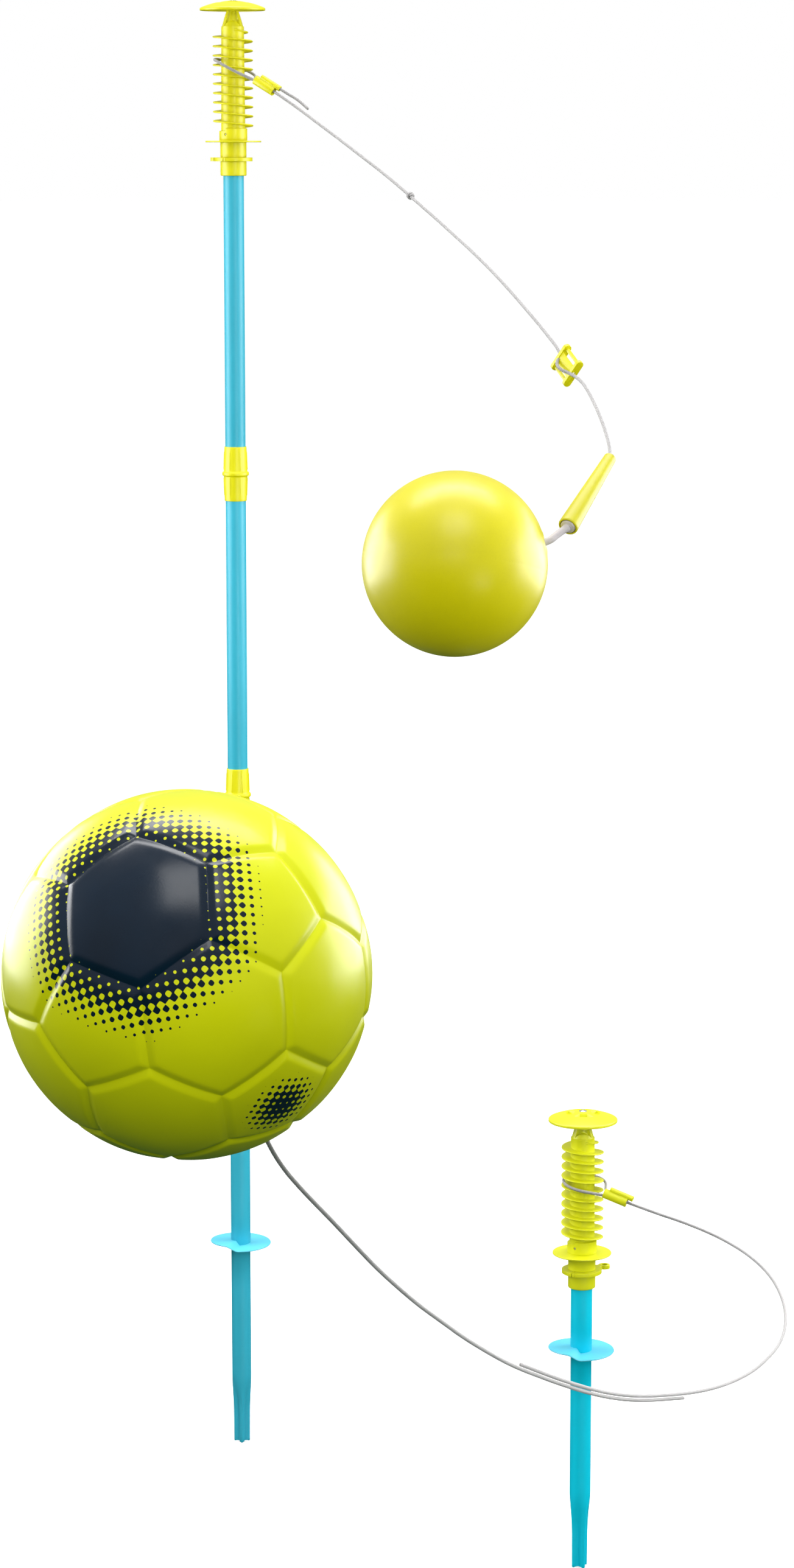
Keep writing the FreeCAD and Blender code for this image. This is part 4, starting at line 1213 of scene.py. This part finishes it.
def make_fittings():
    """The football's lug and valve."""
    lug_place = facing(FOOTBALL + LUG_WAY * FOOTBALL_R, LUG_WAY, (0, 0, 1))
    profile = rounded([(5.05, -5.9), (5.05, 4.0, 1.0), (7.4, 4.0, 1.6), (10.0, 1.2, 1.4), (10.0, -0.2),
                       (7.9, -0.5), (7.9, -8.9), (5.6, -8.9)], 0.4, closed=True)
    lug = turned("football_eyelet", profile, lug_place, columns=72, closed=True)
    seat(lug, "football", "football_yellow", "football_plain", "football_lug")
    valve_place = facing(FOOTBALL + VALVE_WAY * FOOTBALL_R, VALVE_WAY, (0, 0, 1))
    profile = rounded([(0.8, -13), (0.8, -0.9), (1.5, -0.35), (3.4, 0.0), (4.2, -0.5), (4.35, -2.0),
                       (4.35, -13)], 0.3, closed=True)
    valve = turned("football_inlet", profile, valve_place, columns=48, closed=True)
    seat(valve, "football", "bladder_black", "rubber", "football_valve")


# ---- stage --------------------------------------------------------------------------------------
FLOOR_HALF = 300.0
FLOOR_GLOW = 0.7                            # keeps the far floor as pale as the near floor


def make_floor():
    """A wide pale floor."""
    corners = ((-1, -1), (1, -1), (1, 1), (-1, 1))
    points = [(x * FLOOR_HALF, y * FLOOR_HALF, FLOOR_Z) for x, y in corners]
    floor = mesh_piece("floor", points, [(0, 1, 2, 3)], 80)
    n = Nodes("pale floor")
    floor.data.materials.append(n.set(Base_Color=(0.86, 0.86, 0.86, 1), Roughness=0.9, Specular_IOR_Level=0.1,
                                      Emission_Color=(1, 1, 1, 1), Emission_Strength=FLOOR_GLOW))
    floor.visible_diffuse = False
    floor.visible_glossy = False


SKY_STOPS = (                               # from straight down, 0, to straight up, 1
    (0.0, (0.05, 0.12, 0.07, 1)), (0.45, (0.05, 0.15, 0.08, 1)), (0.50, (0.26, 0.30, 0.26, 1)),
    (0.60, (0.70, 0.70, 0.70, 1)), (1.0, (1.0, 1.0, 1.0, 1)),
)
SKY_STRENGTH = 0.50


def make_sky():
    """White to the camera; to everything else a lawn's dark green below and a pale sky above."""
    world = bpy.data.worlds.new("studio")
    world.use_nodes = True
    bpy.context.scene.world = world
    tree = world.node_tree
    where = add_node(tree, "ShaderNodeTexCoord")
    split = add_node(tree, "ShaderNodeSeparateXYZ", {0: where.outputs["Generated"]})
    height = add_node(tree, "ShaderNodeMapRange", {0: split.outputs[2], 1: -1, 2: 1})
    ramp = add_node(tree, "ShaderNodeValToRGB", {0: height.outputs[0]})
    stops = ramp.color_ramp.elements
    stops[0].color = SKY_STOPS[0][1]
    stops[1].color = SKY_STOPS[-1][1]
    for position, colour in SKY_STOPS[1:-1]:
        stops.new(position).color = colour
    back = tree.nodes["Background"]
    tree.links.new(ramp.outputs[0], back.inputs[0])
    back.inputs[1].default_value = SKY_STRENGTH
    white = add_node(tree, "ShaderNodeBackground", {0: (1, 1, 1, 1)})
    ray = add_node(tree, "ShaderNodeLightPath").outputs["Is Camera Ray"]
    sky = add_node(tree, "ShaderNodeMixShader", {0: ray, 1: back.outputs[0], 2: white.outputs[0]})
    tree.links.new(sky.outputs[0], tree.nodes["World Output"].inputs[0])


def light(name, location, target, width, height, power, spread=180, glossy=True):
    """A rectangular lamp aimed at target; one that is not glossy leaves no highlight."""
    data = bpy.data.lights.new(name, "AREA")
    data.shape = "RECTANGLE"
    data.size, data.size_y = width, height
    data.energy = power
    data.spread = math.radians(spread)
    lamp = link(name, data)
    lamp.location = location
    lamp.rotation_euler = (Vector(target) - Vector(location)).to_track_quat("-Z", "Y").to_euler()
    lamp.visible_camera = False
    lamp.visible_glossy = glossy


def make_lights():
    """A key from above, a fill from the front, one lamp for each side, two narrow ones and a top light."""
    light("key", (0.3, -3.2, 4.2), (0.15, -1.2, 0.7), 2.0, 2.0, 48)
    light("front", (0.1, -6.1, 2.6), (0.15, -1.2, 0.7), 2.2, 1.4, 86, glossy=False)
    light("left_side", (-1.5, -0.6, 1.0), (0.05, -1.9, 0.9), 2.1, 1.1, 43)
    light("right_side", (1.85, -0.55, 1.0), (0.2, -1.9, 0.9), 2.1, 1.1, 43)
    light("post_strip", (0.30, -1.0, 0.75), (0.0, 0.0, 0.72), 0.10, 2.2, 0.55, 50)
    light("low_right", (1.5, -3.0, 0.15), (0.3, -1.1, 0.3), 0.5, 0.5, 2.6, 50, glossy=False)
    light("top_back", (0.2, 1.0, 5.5), (0.2, 4.0, 0.5), 6.0, 3.0, 420)


bpy.context.scene.view_settings.view_transform = "Standard"
make_camera()
make_materials()
make_clamps()
make_grip()
make_tail()
make_knots()
make_cords()
make_posts()
make_head("tall", TALL, math.radians(52))
make_head("short", SHORT, math.radians(45))
make_tether_ball()
make_football()
make_fittings()
make_floor()
make_sky()
make_lights()
